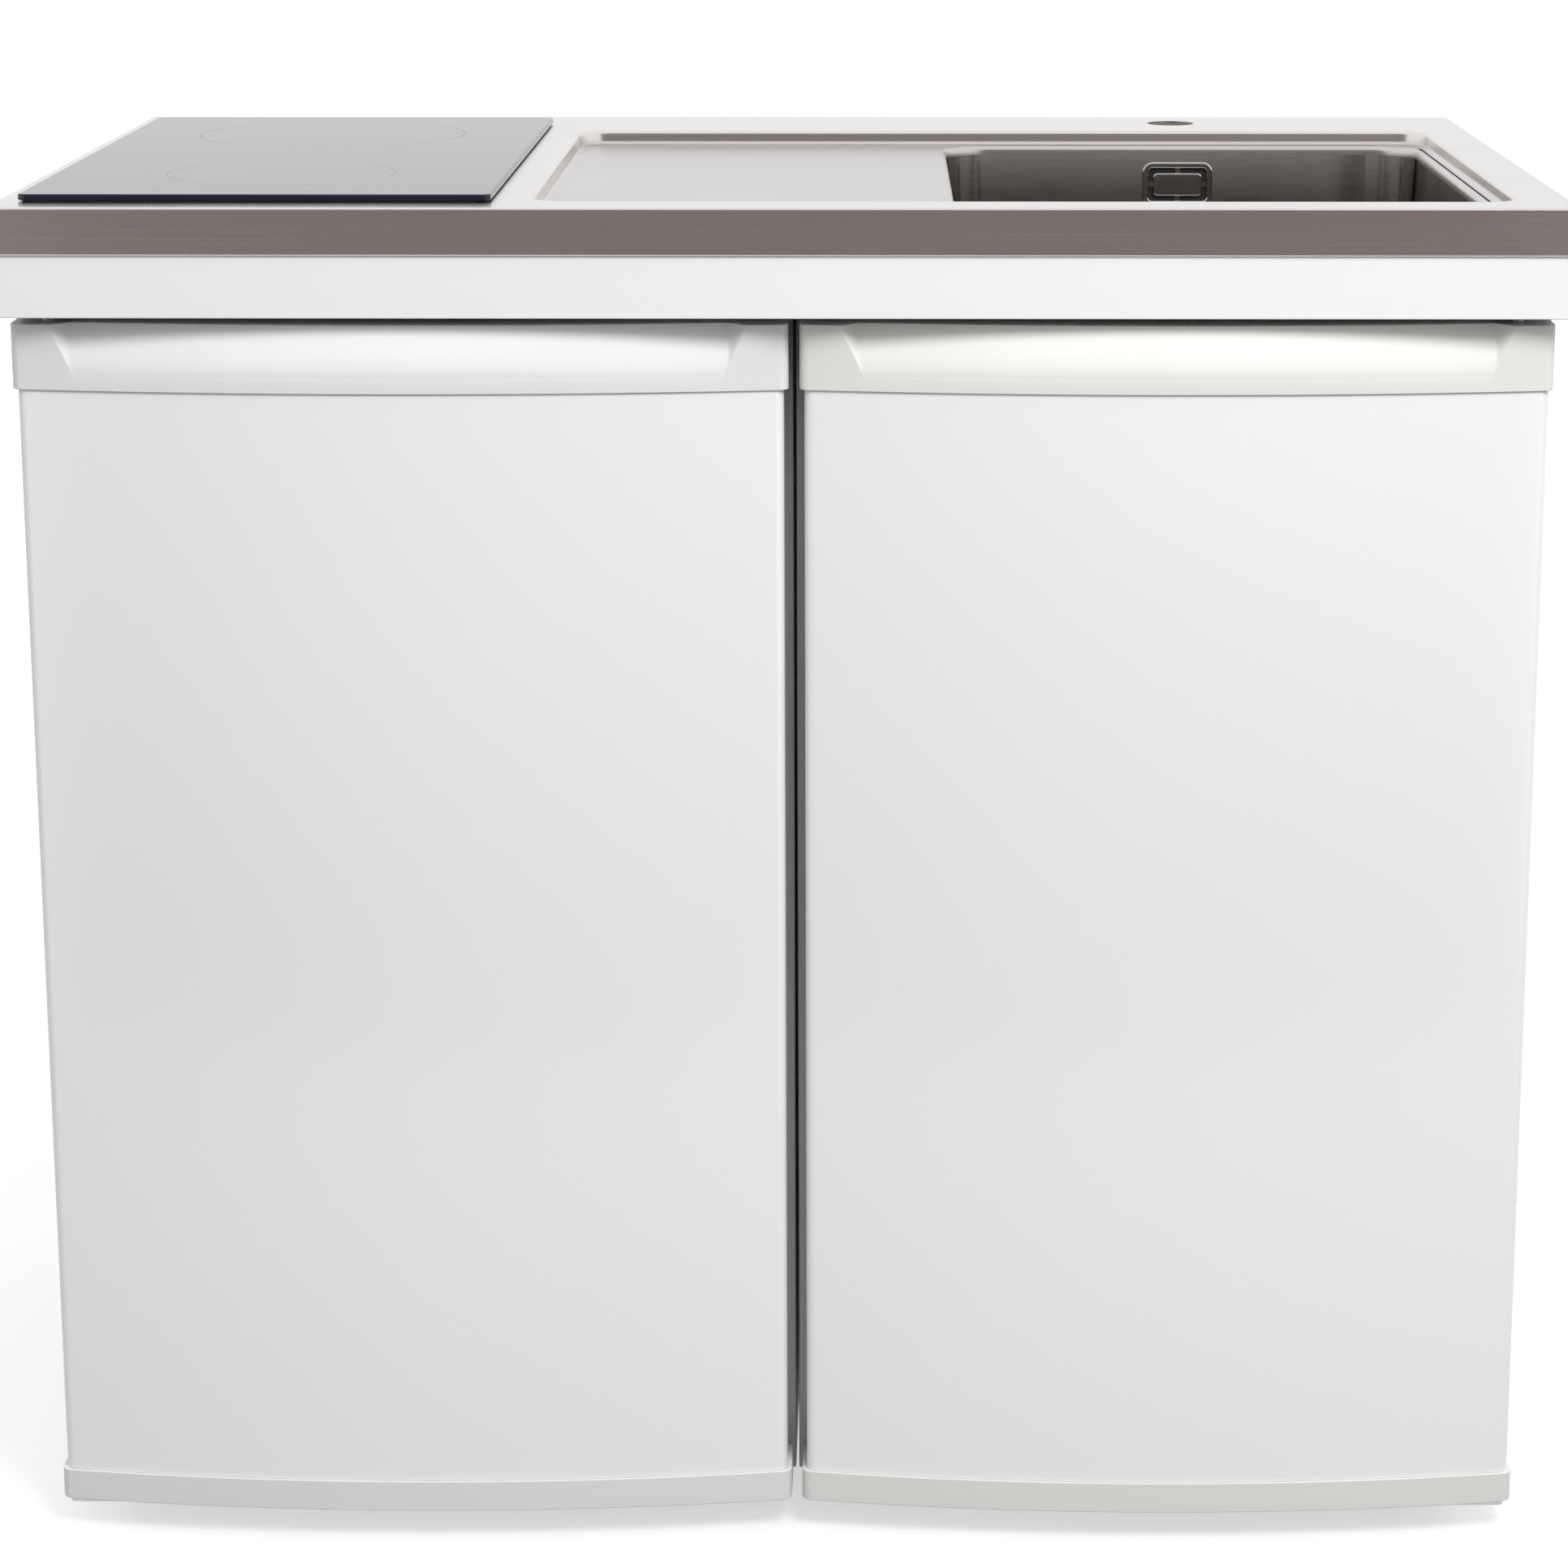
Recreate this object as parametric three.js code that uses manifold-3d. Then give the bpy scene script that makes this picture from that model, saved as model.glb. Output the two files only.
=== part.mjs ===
// Kitchenette unit: a stainless worktop with a glass hob and a sink, on a steel frame that stands on a
// small refrigerator and a sink cupboard, both with bowed doors.
//
// Millimetres, +Z up, +X to the right, +Y to the back. The origin lies on the floor under the middle of
// the worktop.

import * as THREE from 'three';
import { LoftGeometry } from 'three/addons/geometries/LoftGeometry.js';
import { mergeVertices } from 'three/addons/utils/BufferGeometryUtils.js';
import Module from 'manifold-3d';

const wasm = await Module();
wasm.setup();

// ---------------------------------------------------------------------------------------------------
// Driving dimensions
// ---------------------------------------------------------------------------------------------------

// Worktop
const WIDTH = 1000;                 // end to end
const DEPTH = 600;                  // front edge to back edge
const WORKTOP_HEIGHT = 900;         // floor to top face
const SHEET = 1.5;                  // stainless sheet, also of the bowl
const SKIRT = 30;                   // turned-down edge
const SKIRT_CORNER = 3;             // radius of its upright corners

// Sunk drainer, measured from the worktop's right end and front edge
const RECESS_FROM_RIGHT = 34;
const RECESS_FROM_FRONT = 40;
const RECESS_WIDTH = 626;
const RECESS_LENGTH = 448;
const RECESS_DEPTH = 10;
const RECESS_RADIUS = 22;
const RECESS_DRAFT = 3;

// Bowl
const BOWL_FROM_RIGHT = 45;
const BOWL_FROM_FRONT = 90;
const BOWL_WIDTH = 345;
const BOWL_LENGTH = 383;
const BOWL_DEPTH = 150;             // below the drainer's floor
const BOWL_RADIUS = 34;
const BOWL_FILLET = 22;             // wall to floor
const BOWL_DRAFT = 6;               // lean of each wall from rim to fillet
const BOWL_FLANGE = 10;             // rim welded under the drainer's floor

// Tap hole
const TAP_HOLE_RADIUS = 17.5;
const TAP_FROM_BACK = 52;

// Drain
const WASTE_HOLE_RADIUS = 45;
const WASTE_RIM_RADIUS = 57;
const WASTE_CUP_DEPTH = 26;
const WASTE_BODY_DEPTH = 62;
const PIPE_RADIUS = 20;
const PIPE_WALL = 2.5;
const TRAP_RADIUS = 34;
const TRAP_HEIGHT = 80;
const TRAP_CUP_HEIGHT = 50;
const TAIL_LENGTH = 16;             // tail pipe under the waste body
const NECK_LAP = 12;                // trap's neck over the tail pipe
const NECK_HEIGHT = 28;             // neck's top to the trap's shoulder
const TRAP_OUTLET_DROP = 26;        // trap's shoulder to its outlet
const TRAP_SPIGOT = 26;             // how far the outlet stands out of the trap
const OVERFLOW_WIDTH = 52;
const OVERFLOW_HEIGHT = 33;
const OVERFLOW_BELOW_TOP = 37.5;    // worktop's top face to the middle of the plate
const OVERFLOW_PIPE_RADIUS = 10;
const OVERFLOW_BOX_LENGTH = 22;     // how far it stands out behind the bowl's wall

// Hob, measured from the worktop's left end and front edge
const HOB_FROM_LEFT = 15;
const HOB_FROM_FRONT = 30;
const HOB_WIDTH = 300;
const HOB_LENGTH = 510;
const HOB_GLASS = 4;
const HOB_SEAL = 1;
const HOB_LAP_SIDE = 13;            // glass beyond the cut-out at each side
const HOB_LAP_END = 8;              // and at the front and back
const CASING_DEPTH = 48;
const CASING_WALL = 1;
const HEATER_FRONT_RADIUS = 75;
const HEATER_REAR_RADIUS = 95;
const HEATER_HEIGHT = 28;
const HEATER_FRONT_MARGIN = 40;     // casing's front wall to the front heater, over the touch board
const HEATER_REAR_MARGIN = 24;
const TOUCH_BOARD = { width: 190, length: 26, height: 9 };
const TERMINAL_BOX = { width: 110, length: 75, height: 16, fromRear: 51 };
const CLAMP_WIDTH = 40;
const CLAMP_REACH = 11;             // casing's end wall to the end of the clamp's arm
const CLAMP_ARM = 3;                // thickness of the arm
const CLAMP_LEG = 2;                // and of the leg on the casing
const CLAMP_FOOT = 4;               // casing's floor to the leg's lower end

// Frame under the worktop
const FRAME_HEIGHT = 40;
const FRAME_SETBACK = 2;
const FRAME_SHEET = 1.5;
const FRAME_FLANGE = 25;
const FRAME_LEDGE = 50;             // lower front flange, which carries the upper hinges
const CROSS_RAIL_WIDTH = 38;

// Units
const UNIT_INSET = 5;               // worktop's end to a unit's side
const UNIT_GAP = 2;
const FOOT_HEIGHT = 20;
const FOOT_RADIUS = 17;
const FOOT_STEM_RADIUS = 5;
const FOOT_FROM_SIDE = 35;
const FOOT_FROM_FRONT = 75;
const FOOT_FROM_REAR = 45;
const REAR_SPACE = 30;              // behind the refrigerator, for its condenser

// Doors
const DOOR_THICKNESS = 62;          // at the crown
const DOOR_BOW = 19;                // crown in front of the door's ends
const DOOR_FLOOR_GAP = 22;
const DOOR_TOP_GAP = 6;
const DOOR_CORNER = 6;              // rounding of its upright front edges
const FRIDGE_DOOR_REVEAL = [4, 2];  // unit's side to the door's end, left and right
const CUPBOARD_DOOR_REVEAL = [3, 6];
const TOP_TRIM = 42;
const BOTTOM_TRIM = 21;
const TRIM_PROUD = 3;               // beyond the panel at each side
const TRIM_PROUD_FRONT = 1.5;
const GASKET_HEIGHT = 10;
const GASKET_WIDTH = 13;
const BOW_SEGMENTS = 12;

// Scooped grip in each top trim
const SCOOP_DEPTH = 14;
const SCOOP_HEIGHT = 34;
const SCOOP_END_INSET = 26;         // door's end to the scoop's end, at the top
const SCOOP_END_SLOPE = 0.9;        // width of the slanted end wall for each unit of its depth

// Door hinges
const PIN_RADIUS = 4;
const PIN_LENGTH = 15;
const PIN_FROM_SIDE = 22;
const PIN_FROM_REAR = 24;
const HINGE_PLATE = 3;
const HINGE_PLATE_WIDTH = 36;
const HINGE_PLATE_FRONT = 14;       // pin's axis to the plate's front edge
const LOWER_HINGE_REACH = 36;       // unit's front to the lower plate's rear edge
const UPPER_HINGE_REACH = 10;       // pin's axis to the upper plate's rear edge

// Refrigerator
const FRIDGE_WIDTH = 500;
const FRIDGE_WALL = 40;
const LINER = 2;
const LINER_RADIUS = 18;
const STEP_DEPTH = 162;             // the compressor's step reaches this far into the cavity
const STEP_HEIGHT = 180;
const NICHE_FLOOR = 15;
const ICEBOX_HEIGHT = 108;
const ICEBOX_LENGTH = 310;
const ICEBOX_WALL = 2;
const ICEBOX_RADIUS = 12;
const ICEBOX_CLEARANCE = 15;        // behind it
const ICEBOX_HANGER = 8;            // above it
const FLAP = 8;
const SHELF_THICKNESS = 4;
const LOWER_SHELF_ABOVE_STEP = 98;  // step's top to the top face of the shelf's supports
const UPPER_SHELF_ABOVE_STEP = 258;
const SHELF_FROM_FRONT = 93;        // cavity's front to the shelves, which leaves room for the racks
const CRISPER_HEIGHT = 134;
const CRISPER_WALL = 2.5;
const RACK_DEPTH = 90;
const RACK_WALL = 2.5;
const BOTTLE_RACK_HEIGHT = 75;
const UPPER_RACK_HEIGHT = 60;
const THERMOSTAT_WIDTH = 34;
const THERMOSTAT_LENGTH = 120;
const THERMOSTAT_HEIGHT = 80;
const THERMOSTAT_FROM_SHELF_FRONT = 30;
const THERMOSTAT_ABOVE_SHELF = 60;
const DYKE_WIDTH = 10;
const DYKE_HEIGHT = 26;
const DYKE_SWING = 9;               // room beside it at the side that swings out of the cavity
const NICHE_HEADROOM = 16;          // over the drip tray's rim
const SKID_WIDTH = 30;
const SKID_LENGTH = 40;
const SKID_FROM_REAR = 20;
const COMPRESSOR_RADIUS = 62;
const COMPRESSOR_STRETCH = 1.4;     // length over width
const COMPRESSOR_PLATE_MARGIN = 13; // plate's ends beyond the pot
const COMPRESSOR_FOOT = 10;
const COMPRESSOR_LIFT = 13;         // niche's floor to the pot
const COMPRESSOR_STUB = 30;
const DRIP_TRAY_WIDTH = 150;
const DRIP_TRAY_LENGTH = 90;
const DRIP_TRAY_HEIGHT = 16;
const CONDENSER_TUBE_RADIUS = 2.5;
const CONDENSER_PITCH = 54;
const CONDENSER_WIRE_MARGIN = 45;   // tube's bends to the outermost wires
const CONDENSER_STANDOFF = 12;      // refrigerator's back to the tube's middle

// Cupboard
const CUPBOARD_SHEET = 1.5;
const CUPBOARD_LENGTH = 511;        // front to back
const CUPBOARD_FLANGE = 22;
const CUPBOARD_RAIL = 32;           // height of the rail across the front's top
const PAN_HEIGHT = 11.5;
const SERVICE_WIDTH = 160;
const SERVICE_HEIGHT = 150;

// Clearances
const FIT = 0.3;                    // between pieces that are put together by hand
const RUN = 1;                      // between pieces that move past each other
const CUT = 2;                      // how far a cutting solid runs past the face that it opens

// ---------------------------------------------------------------------------------------------------
// Values worked out from them
// ---------------------------------------------------------------------------------------------------

const LEFT = -WIDTH / 2;
const RIGHT = WIDTH / 2;
const FRONT = -DEPTH / 2;
const BACK = DEPTH / 2;
const TOP = WORKTOP_HEIGHT;
const FRAME_TOP = TOP - SKIRT;
const FRAME_BOTTOM = FRAME_TOP - FRAME_HEIGHT;

const RECESS = {
  x0: RIGHT - RECESS_FROM_RIGHT - RECESS_WIDTH,
  x1: RIGHT - RECESS_FROM_RIGHT,
  y0: FRONT + RECESS_FROM_FRONT,
  y1: FRONT + RECESS_FROM_FRONT + RECESS_LENGTH,
};
const RECESS_FLOOR = TOP - RECESS_DEPTH;

const BOWL = {
  x0: RIGHT - BOWL_FROM_RIGHT - BOWL_WIDTH,
  x1: RIGHT - BOWL_FROM_RIGHT,
  y0: FRONT + BOWL_FROM_FRONT,
  y1: FRONT + BOWL_FROM_FRONT + BOWL_LENGTH,
};
const BOWL_RIM = RECESS_FLOOR - SHEET;
const BOWL_FLOOR = RECESS_FLOOR - BOWL_DEPTH;
const SINK_X = (BOWL.x0 + BOWL.x1) / 2;
const SINK_Y = (BOWL.y0 + BOWL.y1) / 2;
const TAP_Y = BACK - TAP_FROM_BACK;

// How far the bowl's wall leans in at a height.
function bowlLean(z) {
  const run = BOWL_RIM - BOWL_FLOOR - BOWL_FILLET;
  return BOWL_DRAFT * Math.min((BOWL_RIM - z) / run, 1);
}

const OVERFLOW_Z = TOP - OVERFLOW_BELOW_TOP;
const OVERFLOW_WALL_INSIDE = BOWL.y1 - bowlLean(OVERFLOW_Z - OVERFLOW_HEIGHT / 2) - FIT;
const OVERFLOW_WALL_OUTSIDE = BOWL.y1 + SHEET - bowlLean(OVERFLOW_Z + OVERFLOW_HEIGHT / 2) + FIT;

const HOB_X = LEFT + HOB_FROM_LEFT + HOB_WIDTH / 2;
const HOB_Y = FRONT + HOB_FROM_FRONT + HOB_LENGTH / 2;
const HOB_UNDERSIDE = HOB_SEAL;     // glass's lower face above the worktop
const CUTOUT_WIDTH = HOB_WIDTH - 2 * HOB_LAP_SIDE;
const CUTOUT_LENGTH = HOB_LENGTH - 2 * HOB_LAP_END;
const CASING_WIDTH = CUTOUT_WIDTH - 2 * RUN;
const CASING_LENGTH = CUTOUT_LENGTH - 2 * RUN;
const CASING_BOTTOM = HOB_UNDERSIDE - CASING_DEPTH;

const DOOR_REAR = FRONT + DOOR_THICKNESS;
const DOOR_BOTTOM = DOOR_FLOOR_GAP;
const DOOR_TOP = FRAME_BOTTOM - DOOR_TOP_GAP;
const UNIT_FRONT = DOOR_REAR + GASKET_HEIGHT + LINER;
const UNIT_BOTTOM = FOOT_HEIGHT;
const PIN_Y = DOOR_REAR - PIN_FROM_REAR;

const FRIDGE = { x0: LEFT + UNIT_INSET, x1: LEFT + UNIT_INSET + FRIDGE_WIDTH, y1: BACK - REAR_SPACE };
const CUPBOARD = { x0: FRIDGE.x1 + UNIT_GAP, x1: RIGHT - UNIT_INSET, y1: UNIT_FRONT + CUPBOARD_LENGTH };
const UNIT_MIDDLE = (FRIDGE.x1 + CUPBOARD.x0) / 2;

// Each door's ends, and where its hinge is: side is -1 for pins at its left, 1 for pins at its right.
const FRIDGE_DOOR = {
  x0: FRIDGE.x0 + FRIDGE_DOOR_REVEAL[0],
  x1: FRIDGE.x1 - FRIDGE_DOOR_REVEAL[1],
  side: -1,
};
const CUPBOARD_DOOR = {
  x0: CUPBOARD.x0 + CUPBOARD_DOOR_REVEAL[0],
  x1: CUPBOARD.x1 - CUPBOARD_DOOR_REVEAL[1],
  side: 1,
};

// Inside of the refrigerator's liner
const CAVITY = {
  x0: FRIDGE.x0 + FRIDGE_WALL + LINER,
  x1: FRIDGE.x1 - FRIDGE_WALL - LINER,
  y0: UNIT_FRONT - LINER,
  y1: FRIDGE.y1 - FRIDGE_WALL - LINER,
  z0: UNIT_BOTTOM + FRIDGE_WALL + LINER,
  z1: FRAME_BOTTOM - FRIDGE_WALL - LINER,
};
const FRIDGE_MIDDLE = (FRIDGE.x0 + FRIDGE.x1) / 2;
const STEP_Y = CAVITY.y1 - STEP_DEPTH;
const STEP_Z = CAVITY.z0 + STEP_HEIGHT;
const SHELF_LEVELS = [STEP_Z + LOWER_SHELF_ABOVE_STEP, STEP_Z + UPPER_SHELF_ABOVE_STEP];
const SHELF_FRONT = CAVITY.y0 + SHELF_FROM_FRONT;
const CRISPER_TOP = CAVITY.z0 + RUN + CRISPER_HEIGHT;
const RACK_REAR = DOOR_REAR + RACK_DEPTH;

// ---------------------------------------------------------------------------------------------------
// Materials
// ---------------------------------------------------------------------------------------------------

const finish = (color, roughness, metalness, extra = {}) =>
  new THREE.MeshStandardMaterial({ color, roughness, metalness, ...extra });

const BRUSHED_STEEL = finish(0xa8a39d, 0.32, 1);
const POLISHED_STEEL = finish(0xc9c7c4, 0.15, 1);
const ZINC = finish(0xa9adb0, 0.45, 1);
const ALUMINIUM = finish(0xc4c7c9, 0.4, 1);
const WHITE_ENAMEL = finish(0xf0f0f0, 0.3, 0);
const WHITE_PLASTIC = finish(0xf2f3f2, 0.35, 0);
const WARM_PLASTIC = finish(0xf1f1ea, 0.35, 0);
const LINER_PLASTIC = finish(0xf4f5f5, 0.25, 0);
const GREY_RUBBER = finish(0xd9dadb, 0.7, 0);
const BLACK_RUBBER = finish(0x1b1b1b, 0.8, 0);
const BLACK_GLASS = finish(0x0a0a0b, 0.05, 0);
const CLEAR_GLASS = finish(0xdde8e4, 0.05, 0, { transparent: true, opacity: 0.35 });
const CLEAR_PLASTIC = finish(0xe3eaec, 0.1, 0, { transparent: true, opacity: 0.45 });
const BOARD = finish(0xb99a6d, 0.8, 0);
const BLACK_STEEL = finish(0x161616, 0.45, 0);
const MINERAL_FIBRE = finish(0xd8d2c4, 0.9, 0);

// ---------------------------------------------------------------------------------------------------
// Solids
// ---------------------------------------------------------------------------------------------------

function signedVolume(position, triangles) {
  const a = new THREE.Vector3();
  const b = new THREE.Vector3();
  const c = new THREE.Vector3();
  let six = 0;
  for (let i = 0; i < triangles.length; i += 3) {
    a.fromBufferAttribute(position, triangles[i]);
    b.fromBufferAttribute(position, triangles[i + 1]);
    c.fromBufferAttribute(position, triangles[i + 2]);
    six += a.dot(b.cross(c));
  }
  return six;
}

// A closed geometry as a solid with its faces pointing out.
function solid(geometry) {
  const bare = new THREE.BufferGeometry();
  bare.setIndex(geometry.index);
  bare.setAttribute('position', geometry.attributes.position);
  const merged = mergeVertices(bare, 1e-4);
  const index = merged.index.array;
  const triangles = [];
  for (let i = 0; i < index.length; i += 3) {
    const [a, b, c] = [index[i], index[i + 1], index[i + 2]];
    if (a !== b && b !== c && c !== a) triangles.push(a, b, c);
  }
  const position = merged.attributes.position;
  if (signedVolume(position, triangles) < 0) triangles.reverse();
  return new wasm.Manifold(new wasm.Mesh({
    numProp: 3,
    vertProperties: new Float32Array(position.array),
    triVerts: new Uint32Array(triangles),
  }));
}

function geometryOf(body) {
  const mesh = body.getMesh();
  const geometry = new THREE.BufferGeometry();
  geometry.setAttribute('position', new THREE.BufferAttribute(new Float32Array(mesh.vertProperties), 3));
  geometry.setIndex(new THREE.BufferAttribute(new Uint32Array(mesh.triVerts), 1));
  geometry.computeVertexNormals();
  return geometry;
}

const join = (bodies) => bodies.reduce((all, body) => all.add(body));
const span = (from, to, count) => Array.from({ length: count + 1 }, (_, i) => from + (to - from) * i / count);

function block(x0, x1, y0, y1, z0, z1) {
  const geometry = new THREE.BoxGeometry(x1 - x0, y1 - y0, z1 - z0);
  geometry.translate((x0 + x1) / 2, (y0 + y1) / 2, (z0 + z1) / 2);
  return solid(geometry);
}

function extruded(shape, length, curveSegments) {
  return new THREE.ExtrudeGeometry(shape, { depth: length, bevelEnabled: false, curveSegments });
}

// A shape drawn in X and Y, from z0 up to z1.
function prismZ(shape, z0, z1, curveSegments = 4) {
  return solid(extruded(shape, z1 - z0, curveSegments).translate(0, 0, z0));
}

// A shape drawn in Y and Z, from x0 to x1.
function prismX(shape, x0, x1, curveSegments = 4) {
  const turn = new THREE.Matrix4().makeBasis(
    new THREE.Vector3(0, 1, 0), new THREE.Vector3(0, 0, 1), new THREE.Vector3(1, 0, 0));
  return solid(extruded(shape, x1 - x0, curveSegments).applyMatrix4(turn).translate(x0, 0, 0));
}

// A shape drawn in X and Z, from y0 to y1.
function prismY(shape, y0, y1, curveSegments = 4) {
  const turn = new THREE.Matrix4().makeBasis(
    new THREE.Vector3(1, 0, 0), new THREE.Vector3(0, 0, 1), new THREE.Vector3(0, -1, 0));
  return solid(extruded(shape, y1 - y0, curveSegments).applyMatrix4(turn).translate(0, y1, 0));
}

// A shape through the given corners, each rounded by a radius.
function roundedShape(corners, radius) {
  const shape = new THREE.Shape();
  const points = corners.map(([x, y]) => new THREE.Vector2(x, y));
  points.forEach((corner, i) => {
    const before = points[(i + points.length - 1) % points.length];
    const after = points[(i + 1) % points.length];
    const start = before.clone().sub(corner).setLength(radius).add(corner);
    const end = after.clone().sub(corner).setLength(radius).add(corner);
    if (i === 0) shape.moveTo(start.x, start.y);
    else shape.lineTo(start.x, start.y);
    if (radius > 0) shape.quadraticCurveTo(corner.x, corner.y, end.x, end.y);
  });
  shape.closePath();
  return shape;
}

function rectangle(x0, x1, y0, y1, radius = 0) {
  return roundedShape([[x0, y0], [x1, y0], [x1, y1], [x0, y1]], radius);
}

// The rectangular outline { x0, x1, y0, y1 } drawn in by an inset, or let out by a negative one.
function inset(outline, by) {
  return { x0: outline.x0 + by, x1: outline.x1 - by, y0: outline.y0 + by, y1: outline.y1 - by };
}

// One ring of points round a rectangle with round corners, at a height.
function ring(outline, radius, z, steps = 3) {
  const centres = [
    [outline.x1 - radius, outline.y0 + radius, -90],
    [outline.x1 - radius, outline.y1 - radius, 0],
    [outline.x0 + radius, outline.y1 - radius, 90],
    [outline.x0 + radius, outline.y0 + radius, 180],
  ];
  return centres.flatMap(([x, y, from]) => span(from, from + 90, steps).map((degrees) => {
    const angle = THREE.MathUtils.degToRad(degrees);
    return new THREE.Vector3(x + radius * Math.cos(angle), y + radius * Math.sin(angle), z);
  }));
}

function loft(sections) {
  return solid(new LoftGeometry(sections, { capStart: true, capEnd: true }));
}

// A closed profile of [radius, height] pairs turned about an upright axis.
function revolve(profile, segments = 18) {
  const closed = [...profile, profile[0]].map(([r, z]) => new THREE.Vector2(r, z));
  return solid(new THREE.LatheGeometry(closed, segments).rotateX(Math.PI / 2));
}

function disc(radius, z0, z1, x = 0, y = 0, segments = 16) {
  return revolve([[0, z0], [radius, z0], [radius, z1], [0, z1]], segments).translate(x, y, 0);
}

// The corners of a route with each bend turned through an arc-like curve of a few steps.
function route(corners, bend, steps = 4) {
  const points = corners.map((corner) => new THREE.Vector3(...corner));
  const result = [points[0]];
  for (let i = 1; i < points.length - 1; i += 1) {
    const start = points[i - 1].clone().sub(points[i]).setLength(bend).add(points[i]);
    const end = points[i + 1].clone().sub(points[i]).setLength(bend).add(points[i]);
    result.push(...new THREE.QuadraticBezierCurve3(start, points[i], end).getPoints(steps));
  }
  result.push(points[points.length - 1]);
  return result;
}

// A round bar along a route. The section is carried from point to point without twisting.
function bar(points, radius, sides = 12) {
  const directions = points.map((point, i) => {
    const before = points[Math.max(i - 1, 0)];
    const after = points[Math.min(i + 1, points.length - 1)];
    return after.clone().sub(before).normalize();
  });
  let across = Math.abs(directions[0].x) < 0.9 ? new THREE.Vector3(1, 0, 0) : new THREE.Vector3(0, 1, 0);
  const sections = points.map((point, i) => {
    const along = directions[i];
    across = across.clone().addScaledVector(along, -across.dot(along)).normalize();
    const third = new THREE.Vector3().crossVectors(along, across);
    return span(0, 2 * Math.PI, sides).slice(0, sides).map((angle) => point.clone()
      .addScaledVector(across, radius * Math.cos(angle))
      .addScaledVector(third, radius * Math.sin(angle)));
  });
  return loft(sections);
}

// A pipe along a route, open at both ends.
function pipe(points, radius, bore, sides) {
  const last = points.length - 1;
  const lengthened = [...points];
  lengthened[0] = points[0].clone().sub(points[1]).setLength(CUT).add(points[0]);
  lengthened[last] = points[last].clone().sub(points[last - 1]).setLength(CUT).add(points[last]);
  return bar(points, radius, sides).subtract(bar(lengthened, bore, sides));
}

// ---------------------------------------------------------------------------------------------------
// Scene graph
// ---------------------------------------------------------------------------------------------------

const kitchenette = new THREE.Group();

function assembly(x = 0, y = 0, z = 0) {
  const group = new THREE.Group();
  group.position.set(x, y, z);
  kitchenette.add(group);
  return group;
}

function piece(parent, name, body, material, x = 0, y = 0, z = 0) {
  const mesh = new THREE.Mesh(geometryOf(body), material);
  mesh.name = name;
  mesh.position.set(x, y, z);
  parent.add(mesh);
}

// ---------------------------------------------------------------------------------------------------
// Worktop, core board and frame
// ---------------------------------------------------------------------------------------------------

const WORKTOP = { x0: LEFT, x1: RIGHT, y0: FRONT, y1: BACK };
const HOB_CUTOUT = {
  x0: HOB_X - CUTOUT_WIDTH / 2,
  x1: HOB_X + CUTOUT_WIDTH / 2,
  y0: HOB_Y - CUTOUT_LENGTH / 2,
  y1: HOB_Y + CUTOUT_LENGTH / 2,
};

// The drainer's sunk form: the hollow itself, or the sheet round it when let out by its thickness.
function recessForm(out, floor, lid) {
  const low = inset(RECESS, RECESS_DRAFT - out);
  const high = inset(RECESS, -out);
  return loft([
    ring(low, RECESS_RADIUS - RECESS_DRAFT + out, floor),
    ring(high, RECESS_RADIUS + out, TOP),
    ring(high, RECESS_RADIUS + out, lid),
  ]);
}

function worktop() {
  const outer = loft([
    ring(WORKTOP, SKIRT_CORNER, FRAME_TOP),
    ring(WORKTOP, SKIRT_CORNER, TOP - SHEET),
    ring(inset(WORKTOP, SHEET / 2), SKIRT_CORNER - SHEET / 2, TOP),
  ]);
  const hollow = loft([
    ring(inset(WORKTOP, SHEET), SKIRT_CORNER - SHEET, FRAME_TOP - CUT),
    ring(inset(WORKTOP, SHEET), SKIRT_CORNER - SHEET, TOP - SHEET),
  ]);
  const tray = recessForm(SHEET, RECESS_FLOOR - SHEET, TOP + CUT)
    .subtract(block(LEFT, RIGHT, FRONT, BACK, TOP - SHEET / 2, TOP + 2 * CUT));
  return outer.subtract(hollow)
    .add(tray)
    .subtract(recessForm(0, RECESS_FLOOR, TOP + CUT))
    .subtract(loft([ring(BOWL, BOWL_RADIUS, BOWL_RIM - CUT), ring(BOWL, BOWL_RADIUS, TOP)]))
    .subtract(loft([ring(HOB_CUTOUT, 6, FRAME_TOP), ring(HOB_CUTOUT, 6, TOP + CUT)]))
    .subtract(disc(TAP_HOLE_RADIUS, FRAME_TOP, TOP + CUT, SINK_X, TAP_Y));
}

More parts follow.
